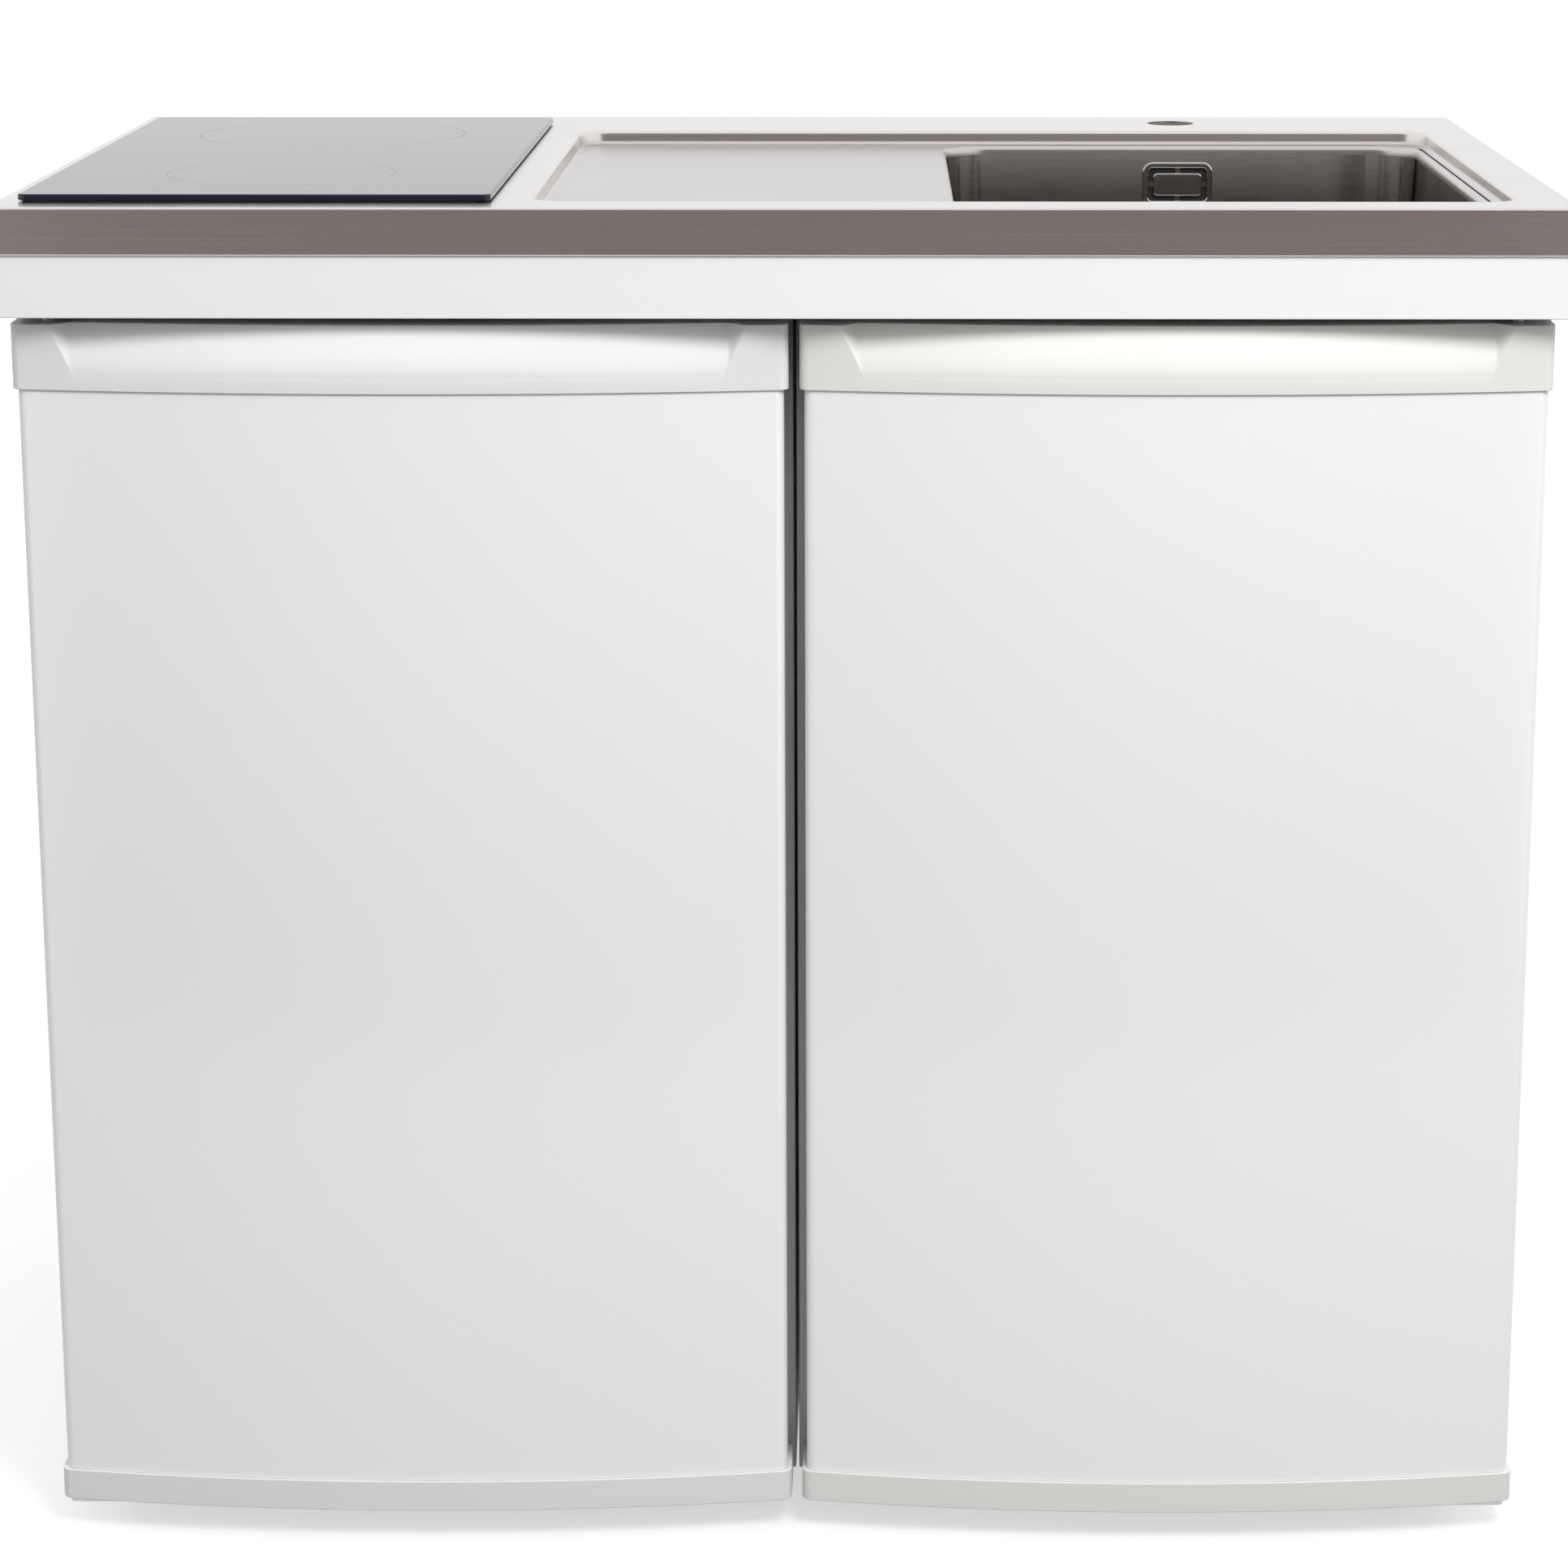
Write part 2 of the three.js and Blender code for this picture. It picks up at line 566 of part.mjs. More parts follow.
function coreBoard() {
  const edge = SHEET + FIT;
  const outline = inset(WORKTOP, edge);
  const board = loft([ring(outline, SKIRT_CORNER, FRAME_TOP, 2), ring(outline, SKIRT_CORNER, TOP - SHEET, 2)]);
  const pocket = loft([
    ring(inset(RECESS, -SHEET - RUN), RECESS_RADIUS, RECESS_FLOOR - SHEET - RUN),
    ring(inset(RECESS, -SHEET - RUN), RECESS_RADIUS, TOP),
  ]);
  const round = BOWL_FLANGE + RUN;
  const bowlHole = loft([
    ring(inset(BOWL, -round), BOWL_RADIUS + round, FRAME_TOP - CUT),
    ring(inset(BOWL, -round), BOWL_RADIUS + round, TOP),
  ]);
  const overflowNotch = block(SINK_X - OVERFLOW_WIDTH / 2 - 2 * RUN, SINK_X + OVERFLOW_WIDTH / 2 + 2 * RUN,
    SINK_Y, OVERFLOW_WALL_OUTSIDE + OVERFLOW_BOX_LENGTH + 2 * RUN, FRAME_TOP - CUT, TOP);
  return board.subtract(pocket)
    .subtract(bowlHole)
    .subtract(overflowNotch)
    .subtract(loft([ring(HOB_CUTOUT, 6, FRAME_TOP - CUT), ring(HOB_CUTOUT, 6, TOP)]))
    .subtract(disc(TAP_HOLE_RADIUS, FRAME_TOP - CUT, TOP, SINK_X, TAP_Y));
}

// A welded ring of channel rails with one cross rail over the place where the two units meet.
function worktopFrame() {
  const outside = inset(WORKTOP, FRAME_SETBACK);
  const flange = (z0, frontWidth) => {
    const shape = rectangle(outside.x0, outside.x1, outside.y0, outside.y1);
    shape.holes.push(rectangle(outside.x0 + FRAME_FLANGE, outside.x1 - FRAME_FLANGE,
      outside.y0 + frontWidth, outside.y1 - FRAME_FLANGE));
    return prismZ(shape, z0, z0 + FRAME_SHEET);
  };
  const web = rectangle(outside.x0, outside.x1, outside.y0, outside.y1);
  const inner = inset(outside, FRAME_SHEET);
  web.holes.push(rectangle(inner.x0, inner.x1, inner.y0, inner.y1));
  const crossX0 = UNIT_MIDDLE - CROSS_RAIL_WIDTH / 2;
  const crossX1 = UNIT_MIDDLE + CROSS_RAIL_WIDTH / 2;
  const crossRail = block(crossX0, crossX1, inner.y0 - FRAME_SHEET / 2, inner.y1 + FRAME_SHEET / 2,
    FRAME_BOTTOM, FRAME_TOP)
    .subtract(block(crossX0 + FRAME_SHEET, crossX1 + CUT, FRONT, BACK,
      FRAME_BOTTOM + FRAME_SHEET, FRAME_TOP - FRAME_SHEET));
  return join([
    prismZ(web, FRAME_BOTTOM, FRAME_TOP),
    flange(FRAME_TOP - FRAME_SHEET, FRAME_FLANGE),
    flange(FRAME_BOTTOM, FRAME_LEDGE),
    crossRail,
  ]).subtract(hobRoom());
}

// Room for the hob's casing and clamps. It only bites into the rails where a longer hob or a shallower
// worktop brings the two together.
function hobRoom() {
  const opening = inset(HOB_CUTOUT, -RUN);
  const clampRoom = (y0, y1) => block(HOB_X - CLAMP_WIDTH / 2 - RUN, HOB_X + CLAMP_WIDTH / 2 + RUN, y0, y1,
    TOP + CASING_BOTTOM + CLAMP_FOOT - RUN, FRAME_TOP + CUT);
  return join([
    block(opening.x0, opening.x1, opening.y0, opening.y1, FRAME_TOP - FRAME_SHEET - CUT, FRAME_TOP + CUT),
    clampRoom(HOB_Y - CASING_LENGTH / 2 - CLAMP_REACH - RUN, HOB_Y),
    clampRoom(HOB_Y, HOB_Y + CASING_LENGTH / 2 + CLAMP_REACH + RUN),
  ]);
}

const top = assembly();
piece(top, 'worktop', worktop(), BRUSHED_STEEL);
piece(top, 'worktop_core', coreBoard(), BOARD);
piece(top, 'worktop_frame', worktopFrame(), WHITE_ENAMEL);

// ---------------------------------------------------------------------------------------------------
// Bowl and overflow
// ---------------------------------------------------------------------------------------------------

// The bowl's hollow, or the sheet round it when let out by its thickness.
function bowlForm(out, lid) {
  const floorFillet = span(0, 90, 4).map((degrees) => {
    const angle = THREE.MathUtils.degToRad(degrees);
    const radius = BOWL_FILLET + out;
    const drawn = BOWL_DRAFT - out + radius * (1 - Math.sin(angle));
    const z = BOWL_FLOOR - out + radius * (1 - Math.cos(angle));
    return ring(inset(BOWL, drawn), BOWL_RADIUS + out - BOWL_DRAFT / 2, z);
  });
  return loft([
    ...floorFillet,
    ring(inset(BOWL, -out), BOWL_RADIUS + out, BOWL_RIM),
    ring(inset(BOWL, -out), BOWL_RADIUS + out, lid),
  ]);
}

function sinkBowl() {
  const flange = loft([
    ring(inset(BOWL, -BOWL_FLANGE), BOWL_RADIUS + BOWL_FLANGE, BOWL_RIM - SHEET),
    ring(inset(BOWL, -BOWL_FLANGE), BOWL_RADIUS + BOWL_FLANGE, BOWL_RIM),
  ]);
  const shell = bowlForm(SHEET, BOWL_RIM + CUT).intersect(block(LEFT, RIGHT, FRONT, BACK, 0, BOWL_RIM));
  const overflowSlot = block(SINK_X - 15, SINK_X + 15, BOWL.y1 - 3 * BOWL_DRAFT, BOWL.y1 + BOWL_FLANGE,
    OVERFLOW_Z - 5, OVERFLOW_Z + 5);
  return shell.add(flange)
    .subtract(bowlForm(0, BOWL_RIM + CUT))
    .subtract(disc(WASTE_HOLE_RADIUS, BOWL_FLOOR - CUT - SHEET, BOWL_FLOOR + CUT, SINK_X, SINK_Y, 32))
    .subtract(overflowSlot);
}

// A framed slot round a plain centre plate, held to the frame by four webs at the back.
function overflowPlate() {
  const thickness = 3.5;
  const front = OVERFLOW_WALL_INSIDE - thickness;
  const middle = front + thickness / 2;
  const rim = 4.5;
  const slot = 3.5;
  const outline = (by, radius) => rectangle(SINK_X - OVERFLOW_WIDTH / 2 + by, SINK_X + OVERFLOW_WIDTH / 2 - by,
    OVERFLOW_Z - OVERFLOW_HEIGHT / 2 + by, OVERFLOW_Z + OVERFLOW_HEIGHT / 2 - by, radius);
  const frame = outline(0, 5);
  frame.holes.push(outline(rim, 3));
  const bridge = (x0, x1, z0, z1) => block(x0, x1, middle, OVERFLOW_WALL_INSIDE, z0, z1);
  const halfWidth = OVERFLOW_WIDTH / 2 - rim / 2;
  const halfHeight = OVERFLOW_HEIGHT / 2 - rim / 2;
  return join([
    prismY(frame, front, OVERFLOW_WALL_INSIDE),
    prismY(outline(rim + slot, 2), front, OVERFLOW_WALL_INSIDE),
    bridge(SINK_X - halfWidth, SINK_X + halfWidth, OVERFLOW_Z - 2, OVERFLOW_Z + 2),
    bridge(SINK_X - 2, SINK_X + 2, OVERFLOW_Z - halfHeight, OVERFLOW_Z + halfHeight),
  ]);
}

const OVERFLOW_PIPE_Y = OVERFLOW_WALL_OUTSIDE + OVERFLOW_BOX_LENGTH / 2;
const OVERFLOW_BOX_BOTTOM = OVERFLOW_Z - OVERFLOW_HEIGHT / 2 - 1;
const SPIGOT_LENGTH = 12;

// The box behind the bowl's back wall, open to the slot, with a spigot for its pipe.
function overflowBox() {
  const y0 = OVERFLOW_WALL_OUTSIDE;
  const y1 = y0 + OVERFLOW_BOX_LENGTH;
  const halfWidth = OVERFLOW_WIDTH / 2;
  const boxTop = OVERFLOW_Z + OVERFLOW_HEIGHT / 2 + 1;
  const wall = 2;
  const shell = prismY(rectangle(SINK_X - halfWidth, SINK_X + halfWidth,
    OVERFLOW_BOX_BOTTOM, boxTop, 5), y0, y1);
  const hollow = prismY(rectangle(SINK_X - halfWidth + wall, SINK_X + halfWidth - wall,
    OVERFLOW_BOX_BOTTOM + wall, boxTop - wall, 3), y0 - CUT, y1 - wall);
  const low = OVERFLOW_BOX_BOTTOM - SPIGOT_LENGTH;
  return shell.add(disc(OVERFLOW_PIPE_RADIUS, low, OVERFLOW_BOX_BOTTOM + 1, SINK_X, OVERFLOW_PIPE_Y))
    .subtract(hollow)
    .subtract(disc(OVERFLOW_PIPE_RADIUS - 2, low - CUT, OVERFLOW_Z, SINK_X, OVERFLOW_PIPE_Y));
}

const WASTE_TOP = BOWL_FLOOR - SHEET;                 // the bowl floor's underside
const WASTE_SPIGOT_Z = WASTE_TOP - 26;
const WASTE_SPIGOT_REACH = 72;                        // drain's axis to the end of the overflow spigot

function overflowPipe() {
  const start = [SINK_X, OVERFLOW_PIPE_Y, OVERFLOW_BOX_BOTTOM - SPIGOT_LENGTH - FIT];
  const corner = [SINK_X, OVERFLOW_PIPE_Y, WASTE_SPIGOT_Z];
  const end = [SINK_X, SINK_Y + WASTE_SPIGOT_REACH + FIT, WASTE_SPIGOT_Z];
  return pipe(route([start, corner, end], 25, 3), OVERFLOW_PIPE_RADIUS, OVERFLOW_PIPE_RADIUS - 2, 10);
}

const sink = assembly();
piece(sink, 'sink_bowl', sinkBowl(), BRUSHED_STEEL);
piece(sink, 'overflow_plate', overflowPlate(), POLISHED_STEEL);
piece(sink, 'overflow_box', overflowBox(), WHITE_PLASTIC);
piece(sink, 'overflow_pipe', overflowPipe(), WHITE_PLASTIC);

// ---------------------------------------------------------------------------------------------------
// Drain, drawn about its own upright axis with the bowl's floor at zero
// ---------------------------------------------------------------------------------------------------

const CUP_RADIUS = WASTE_HOLE_RADIUS - 1.5;
const FLANGE_LIFT = 2.5;                              // top of the waste's rim above the bowl's floor

function holeCircle(count, radius, holeRadius, z0, z1) {
  return join(span(0, 360, count).slice(0, count).map((degrees) => {
    const angle = THREE.MathUtils.degToRad(degrees);
    return disc(holeRadius, z0, z1, radius * Math.cos(angle), radius * Math.sin(angle), 6);
  }));
}

function wasteFlange() {
  const wall = 1.5;
  return revolve([
    [6, -WASTE_CUP_DEPTH],
    [CUP_RADIUS, -WASTE_CUP_DEPTH],
    [CUP_RADIUS, 0],
    [WASTE_RIM_RADIUS, 0],
    [WASTE_RIM_RADIUS, 1],
    [WASTE_RIM_RADIUS - 3, FLANGE_LIFT],
    [CUP_RADIUS + 1, FLANGE_LIFT],
    [CUP_RADIUS - wall, 0],
    [CUP_RADIUS - wall, wall - WASTE_CUP_DEPTH],
    [6, wall - WASTE_CUP_DEPTH],
  ]).subtract(holeCircle(6, 24, 7, -WASTE_CUP_DEPTH - CUT, wall - WASTE_CUP_DEPTH + CUT));
}

function strainerBasket() {
  const wall = 1.5;
  const outer = CUP_RADIUS - 4.5;
  const floor = FIT * 10 + 1.5 - WASTE_CUP_DEPTH;
  const seat = FLANGE_LIFT + FIT;
  return revolve([
    [0, floor],
    [outer - 5, floor],
    [outer, floor + 12],
    [outer, seat],
    [outer + 7, seat],
    [outer + 7, seat + wall],
    [outer - wall, seat + wall],
    [outer - wall, floor + 12],
    [outer - 5 - wall, floor + wall],
    [5, floor + wall],
    [4, floor + 14],
    [4, seat + 6],
    [9, seat + 9],
    [9, seat + 14],
    [6, seat + 16],
    [0, seat + 16],
  ]).subtract(holeCircle(8, 20, 5, floor - CUT, floor + wall + CUT));
}

function wasteBody() {
  const under = -SHEET - FIT;
  const pot = CUP_RADIUS + 3.5;
  const low = -SHEET - WASTE_BODY_DEPTH;
  const bore = PIPE_RADIUS - PIPE_WALL;
  const shell = revolve([
    [bore, low - 16],
    [PIPE_RADIUS, low - 16],
    [PIPE_RADIUS, low + 6],
    [pot, low + 22],
    [pot, under - 4],
    [WASTE_RIM_RADIUS - 1, under - 4],
    [WASTE_RIM_RADIUS - 1, under],
    [pot - PIPE_WALL, under],
    [pot - PIPE_WALL, low + 23],
    [bore, low + 8],
  ]);
  const y0 = pot - 1;
  const z = WASTE_SPIGOT_Z - BOWL_FLOOR;
  const spigot = bar([new THREE.Vector3(0, y0, z), new THREE.Vector3(0, WASTE_SPIGOT_REACH, z)],
    OVERFLOW_PIPE_RADIUS, 12);
  const spigotBore = bar([new THREE.Vector3(0, pot - 8, z), new THREE.Vector3(0, WASTE_SPIGOT_REACH + CUT, z)],
    OVERFLOW_PIPE_RADIUS - 2, 12);
  return shell.add(spigot).subtract(spigotBore);
}

const TAIL_BOTTOM = -SHEET - WASTE_BODY_DEPTH - TAIL_LENGTH;
const NECK_TOP = TAIL_BOTTOM + NECK_LAP;
const NECK_RADIUS = PIPE_RADIUS + 4;
const TRAP_TOP = NECK_TOP - NECK_HEIGHT;
const TRAP_BOTTOM = TRAP_TOP - TRAP_HEIGHT;
const TRAP_OUTLET_Z = TRAP_TOP - TRAP_OUTLET_DROP;
const TRAP_SPIGOT_REACH = TRAP_RADIUS + TRAP_SPIGOT;

// A ring nut with grip ribs, screwed over the neck and closed in to the tail pipe above it.
function trapNut() {
  const collar = revolve([
    [PIPE_RADIUS + FIT, NECK_TOP + FIT],
    [PIPE_RADIUS + FIT, NECK_TOP + 4],
    [NECK_RADIUS + 4, NECK_TOP + 4],
    [NECK_RADIUS + 5, NECK_TOP + 2],
    [NECK_RADIUS + 5, NECK_TOP - 16],
    [NECK_RADIUS + FIT, NECK_TOP - 16],
    [NECK_RADIUS + FIT, NECK_TOP + FIT],
  ]);
  const ribs = span(0, 360, 8).slice(0, 8).map((degrees) =>
    block(NECK_RADIUS + 4, NECK_RADIUS + 6.5, -2, 2, NECK_TOP - 16, NECK_TOP).rotate([0, 0, degrees]));
  return join([collar, ...ribs]);
}

// The bottle trap's body: a bottle open below, with the dip tube that makes the water seal.
function trapBody() {
  const wall = 2.5;
  const dip = PIPE_RADIUS - 2;
  const shell = revolve([
    [PIPE_RADIUS + FIT, NECK_TOP],
    [NECK_RADIUS, NECK_TOP],
    [NECK_RADIUS, TRAP_TOP + 8],
    [TRAP_RADIUS, TRAP_TOP - 6],
    [TRAP_RADIUS, TRAP_BOTTOM],
    [TRAP_RADIUS - wall, TRAP_BOTTOM],
    [TRAP_RADIUS - wall, TRAP_TOP - 8],
    [dip, TRAP_TOP],
    [dip, TRAP_BOTTOM - 10],
    [dip - wall, TRAP_BOTTOM - 10],
    [dip - wall, TAIL_BOTTOM - 3],
    [PIPE_RADIUS + FIT, TAIL_BOTTOM - 3],
  ]);
  const spigot = bar([
    new THREE.Vector3(0, TRAP_RADIUS - 1.5, TRAP_OUTLET_Z),
    new THREE.Vector3(0, TRAP_SPIGOT_REACH, TRAP_OUTLET_Z),
  ], PIPE_RADIUS, 16);
  const bore = bar([
    new THREE.Vector3(0, TRAP_RADIUS - 10, TRAP_OUTLET_Z),
    new THREE.Vector3(0, TRAP_SPIGOT_REACH + CUT, TRAP_OUTLET_Z),
  ], PIPE_RADIUS - PIPE_WALL, 16);
  return shell.add(spigot).subtract(bore);
}

// The cup that screws off for cleaning.
function trapCup() {
  const wall = 2.5;
  const lap = 14;
  const inside = TRAP_RADIUS + FIT;
  const low = TRAP_BOTTOM + lap - TRAP_CUP_HEIGHT;
  const cup = revolve([
    [0, low],
    [inside - 6, low],
    [inside - 1, low + 6],
    [inside - 1, TRAP_BOTTOM - 4],
    [inside + wall, TRAP_BOTTOM],
    [inside + wall, TRAP_BOTTOM + lap],
    [inside, TRAP_BOTTOM + lap],
    [inside, TRAP_BOTTOM - FIT],
    [inside - 1 - wall, TRAP_BOTTOM - 4],
    [inside - 1 - wall, low + 7],
    [inside - 7, low + wall],
    [0, low + wall],
  ]);
  const ribs = span(0, 360, 8).slice(0, 8).map((degrees) =>
    block(inside + 1.5, inside + wall + 2, -2.5, 2.5, TRAP_BOTTOM + 1, TRAP_BOTTOM + lap)
      .rotate([0, 0, degrees]));
  return join([cup, ...ribs]);
}

// The straight pipe to the wall, with the union nut that holds it to the trap's spigot.
function trapOutlet() {
  const start = TRAP_SPIGOT_REACH + FIT;
  const end = BACK - 12 - SINK_Y;
  const at = (y) => new THREE.Vector3(0, y, TRAP_OUTLET_Z);
  const nut = bar([at(start - 14), at(start + 8)], PIPE_RADIUS + 6, 12);
  const nutBore = bar([at(start - 14 - CUT), at(start)], PIPE_RADIUS + FIT, 16);
  return bar([at(start), at(end)], PIPE_RADIUS, 16)
    .add(nut)
    .subtract(nutBore)
    .subtract(bar([at(start - CUT), at(end + CUT)], PIPE_RADIUS - PIPE_WALL, 16));
}

const drain = assembly(SINK_X, SINK_Y, BOWL_FLOOR);
piece(drain, 'waste_flange', wasteFlange(), POLISHED_STEEL);
piece(drain, 'strainer_basket', strainerBasket(), POLISHED_STEEL);
piece(drain, 'waste_body', wasteBody(), WHITE_PLASTIC);
piece(drain, 'trap_nut', trapNut(), WHITE_PLASTIC);
piece(drain, 'trap_body', trapBody(), WHITE_PLASTIC);
piece(drain, 'trap_cup', trapCup(), WHITE_PLASTIC);
piece(drain, 'trap_outlet', trapOutlet(), WHITE_PLASTIC);

// ---------------------------------------------------------------------------------------------------
// Hob, drawn about the middle of its glass with the worktop's top face at zero
// ---------------------------------------------------------------------------------------------------

const around = (width, length) => ({ x0: -width / 2, x1: width / 2, y0: -length / 2, y1: length / 2 });

function hobGlass() {
  const outline = around(HOB_WIDTH, HOB_LENGTH);
  const topFace = HOB_UNDERSIDE + HOB_GLASS;
  return loft([
    ring(inset(outline, 0.8), 4, HOB_UNDERSIDE),
    ring(outline, 4, HOB_UNDERSIDE + 0.8),
    ring(outline, 4, topFace - 0.8),
    ring(inset(outline, 0.8), 4, topFace),
  ]);
}

function hobSeal() {
  const outside = inset(around(HOB_WIDTH, HOB_LENGTH), 1.5);
  const shape = rectangle(outside.x0, outside.x1, outside.y0, outside.y1, 4);
  shape.holes.push(rectangle(-CUTOUT_WIDTH / 2 - RUN, CUTOUT_WIDTH / 2 + RUN,
    -CUTOUT_LENGTH / 2 - RUN, CUTOUT_LENGTH / 2 + RUN, 6));
  return prismZ(shape, 0, HOB_SEAL);
}

// A folded pan with cooling slots in its floor.
function hobCasing() {
  const outside = around(CASING_WIDTH, CASING_LENGTH);
  const inside = inset(outside, CASING_WALL);
  const slots = span(-2.5, 2.5, 5).map((place) =>
    block(-60, 60, place * 14 - 3, place * 14 + 3, CASING_BOTTOM - CUT, CASING_BOTTOM + CUT));
  return loft([ring(outside, 5, CASING_BOTTOM), ring(outside, 5, HOB_UNDERSIDE)])
    .subtract(loft([ring(inside, 4, CASING_BOTTOM + CASING_WALL), ring(inside, 4, HOB_UNDERSIDE + CUT)]))
    .subtract(join(slots));
}

// A round dish with an insulating rim that is pressed up against the glass.
function heater(radius) {
  const high = HOB_UNDERSIDE;
  const low = high - HEATER_HEIGHT;
  return revolve([
    [0, low],
    [radius - 4, low],
    [radius, low + 4],
    [radius, high],
    [radius - 9, high],
    [radius - 9, high - 14],
    [0, high - 14],
  ], 24);
}

function touchBoard() {
  const { width, length, height } = TOUCH_BOARD;
  const y0 = -CASING_LENGTH / 2 + CASING_WALL + 2;
  return block(-width / 2, width / 2, y0, y0 + length, HOB_UNDERSIDE - height, HOB_UNDERSIDE);
}

// A cover that narrows a little downwards.
function terminalBox() {
  const { width, length, height, fromRear } = TERMINAL_BOX;
  const y1 = CASING_LENGTH / 2 - fromRear;
  const foot = { x0: -width / 2, x1: width / 2, y0: y1 - length, y1 };
  return loft([ring(foot, 4, CASING_BOTTOM - height), ring(inset(foot, -2), 5, CASING_BOTTOM)]);
}

// An angle on the casing's end wall whose arm bears on the core board's underside.
function hobClamp(side) {
  const wall = side * CASING_LENGTH / 2;
  const arm = wall + side * CLAMP_REACH;
  const leg = wall + side * CLAMP_LEG;
  return prismX(roundedShape([
    [wall, CASING_BOTTOM + CLAMP_FOOT],
    [leg, CASING_BOTTOM + CLAMP_FOOT],
    [leg, -SKIRT - CLAMP_ARM],
    [arm, -SKIRT - CLAMP_ARM],
    [arm, -SKIRT],
    [wall, -SKIRT],
  ], 0), -CLAMP_WIDTH / 2, CLAMP_WIDTH / 2);
}

const hob = assembly(HOB_X, HOB_Y, TOP);
const heaterFrontY = -CASING_LENGTH / 2 + HEATER_FRONT_MARGIN + HEATER_FRONT_RADIUS;
const heaterRearY = CASING_LENGTH / 2 - HEATER_REAR_MARGIN - HEATER_REAR_RADIUS;
piece(hob, 'hob_glass', hobGlass(), BLACK_GLASS);
piece(hob, 'hob_seal', hobSeal(), BLACK_RUBBER);
piece(hob, 'hob_casing', hobCasing(), ZINC);
piece(hob, 'heater_front', heater(HEATER_FRONT_RADIUS), MINERAL_FIBRE, 0, heaterFrontY, 0);
piece(hob, 'heater_rear', heater(HEATER_REAR_RADIUS), MINERAL_FIBRE, 0, heaterRearY, 0);
piece(hob, 'hob_touch_board', touchBoard(), BLACK_STEEL);
piece(hob, 'hob_terminal_box', terminalBox(), BLACK_STEEL);
piece(hob, 'hob_clamp_front', hobClamp(-1), ZINC);
piece(hob, 'hob_clamp_rear', hobClamp(1), ZINC);

// ---------------------------------------------------------------------------------------------------
// Refrigerator cabinet
// ---------------------------------------------------------------------------------------------------

// The stepped side view of the cavity, let out all round and run past the front.
function cavityProfile(out, front) {
  return roundedShape([
    [front, CAVITY.z0 - out],
    [STEP_Y + out, CAVITY.z0 - out],
    [STEP_Y + out, STEP_Z - out],
    [CAVITY.y1 + out, STEP_Z - out],
    [CAVITY.y1 + out, CAVITY.z1 + out],
    [front, CAVITY.z1 + out],
  ], LINER_RADIUS);
}

// A cavity's block, square at its open front, where the profile's rounding would narrow the mouth.
function cavityForm(out, front) {
  return prismX(cavityProfile(out, front - 2 * LINER_RADIUS), CAVITY.x0 - out, CAVITY.x1 + out, 4)
    .intersect(block(LEFT, RIGHT, front, BACK, 0, TOP));
}

const NICHE = {
  y0: STEP_Y + LINER + FRIDGE_WALL,
  z0: UNIT_BOTTOM + NICHE_FLOOR,
  z1: STEP_Z - LINER - FRIDGE_WALL,
};

// Foam-filled walls with the compressor's niche at the back and two skids in place of rear feet.
function fridgeCabinet() {
  const skidRear = FRIDGE.y1 - SKID_FROM_REAR;
  const skid = (x) => block(x - SKID_WIDTH / 2, x + SKID_WIDTH / 2, skidRear - SKID_LENGTH, skidRear,
    0, UNIT_BOTTOM + 1);
  return block(FRIDGE.x0, FRIDGE.x1, UNIT_FRONT, FRIDGE.y1, UNIT_BOTTOM, FRAME_BOTTOM)
    .subtract(cavityForm(LINER + FIT, UNIT_FRONT - CUT))
    .subtract(block(FRIDGE.x0 + 12, FRIDGE.x1 - 12, NICHE.y0, BACK, NICHE.z0, NICHE.z1))
    .add(skid(FRIDGE.x0 + FOOT_FROM_SIDE))
    .add(skid(FRIDGE.x1 - FOOT_FROM_SIDE));
}

const RIB = 7;                                        // how far a shelf support stands out

// Thin plastic tub with a lip on the cabinet's front and moulded supports for what slides in.
function fridgeLiner() {
  const lip = rectangle(FRIDGE.x0 + 3, FRIDGE.x1 - 3, UNIT_BOTTOM + 3, FRAME_BOTTOM - 3, 6);
  const support = (top, y1) => [
    block(CAVITY.x0 - 1, CAVITY.x0 + RIB, SHELF_FRONT, y1, top - 6, top),
    block(CAVITY.x1 - RIB, CAVITY.x1 + 1, SHELF_FRONT, y1, top - 6, top),
  ];
  const coverTop = CRISPER_TOP + RUN + 6;
  return cavityForm(LINER, UNIT_FRONT - LINER)
    .add(prismY(lip, UNIT_FRONT - LINER, UNIT_FRONT))
    .subtract(cavityForm(0, UNIT_FRONT - LINER - CUT))
    .add(join(SHELF_LEVELS.flatMap((level) => support(level, CAVITY.y1 - 20))))
    .add(join(support(coverTop, STEP_Y - 4)));
}

// ---- Icebox, drawn in place ---------------------------------------------------------------------

const ICEBOX = {
  x0: CAVITY.x0 + 5,
  x1: CAVITY.x1 - 5,
  y0: CAVITY.y1 - ICEBOX_CLEARANCE - ICEBOX_LENGTH,
  y1: CAVITY.y1 - ICEBOX_CLEARANCE,
  z0: CAVITY.z1 - ICEBOX_HANGER - ICEBOX_HEIGHT,
  z1: CAVITY.z1 - ICEBOX_HANGER,
};
const FLAP_REAR = ICEBOX.y0 - 4;
const FLAP_PIN_Y = FLAP_REAR - FLAP / 2;
const FLAP_PIN_Z = ICEBOX.z1 - 6;
const FLAP_PIN_RADIUS = 2.5;

// A cross-wise bar of X length, used for the flap's pins and their holes.
function crossBar(x0, x1, y, z, radius, sides = 12) {
  return bar([new THREE.Vector3(x0, y, z), new THREE.Vector3(x1, y, z)], radius, sides);
}

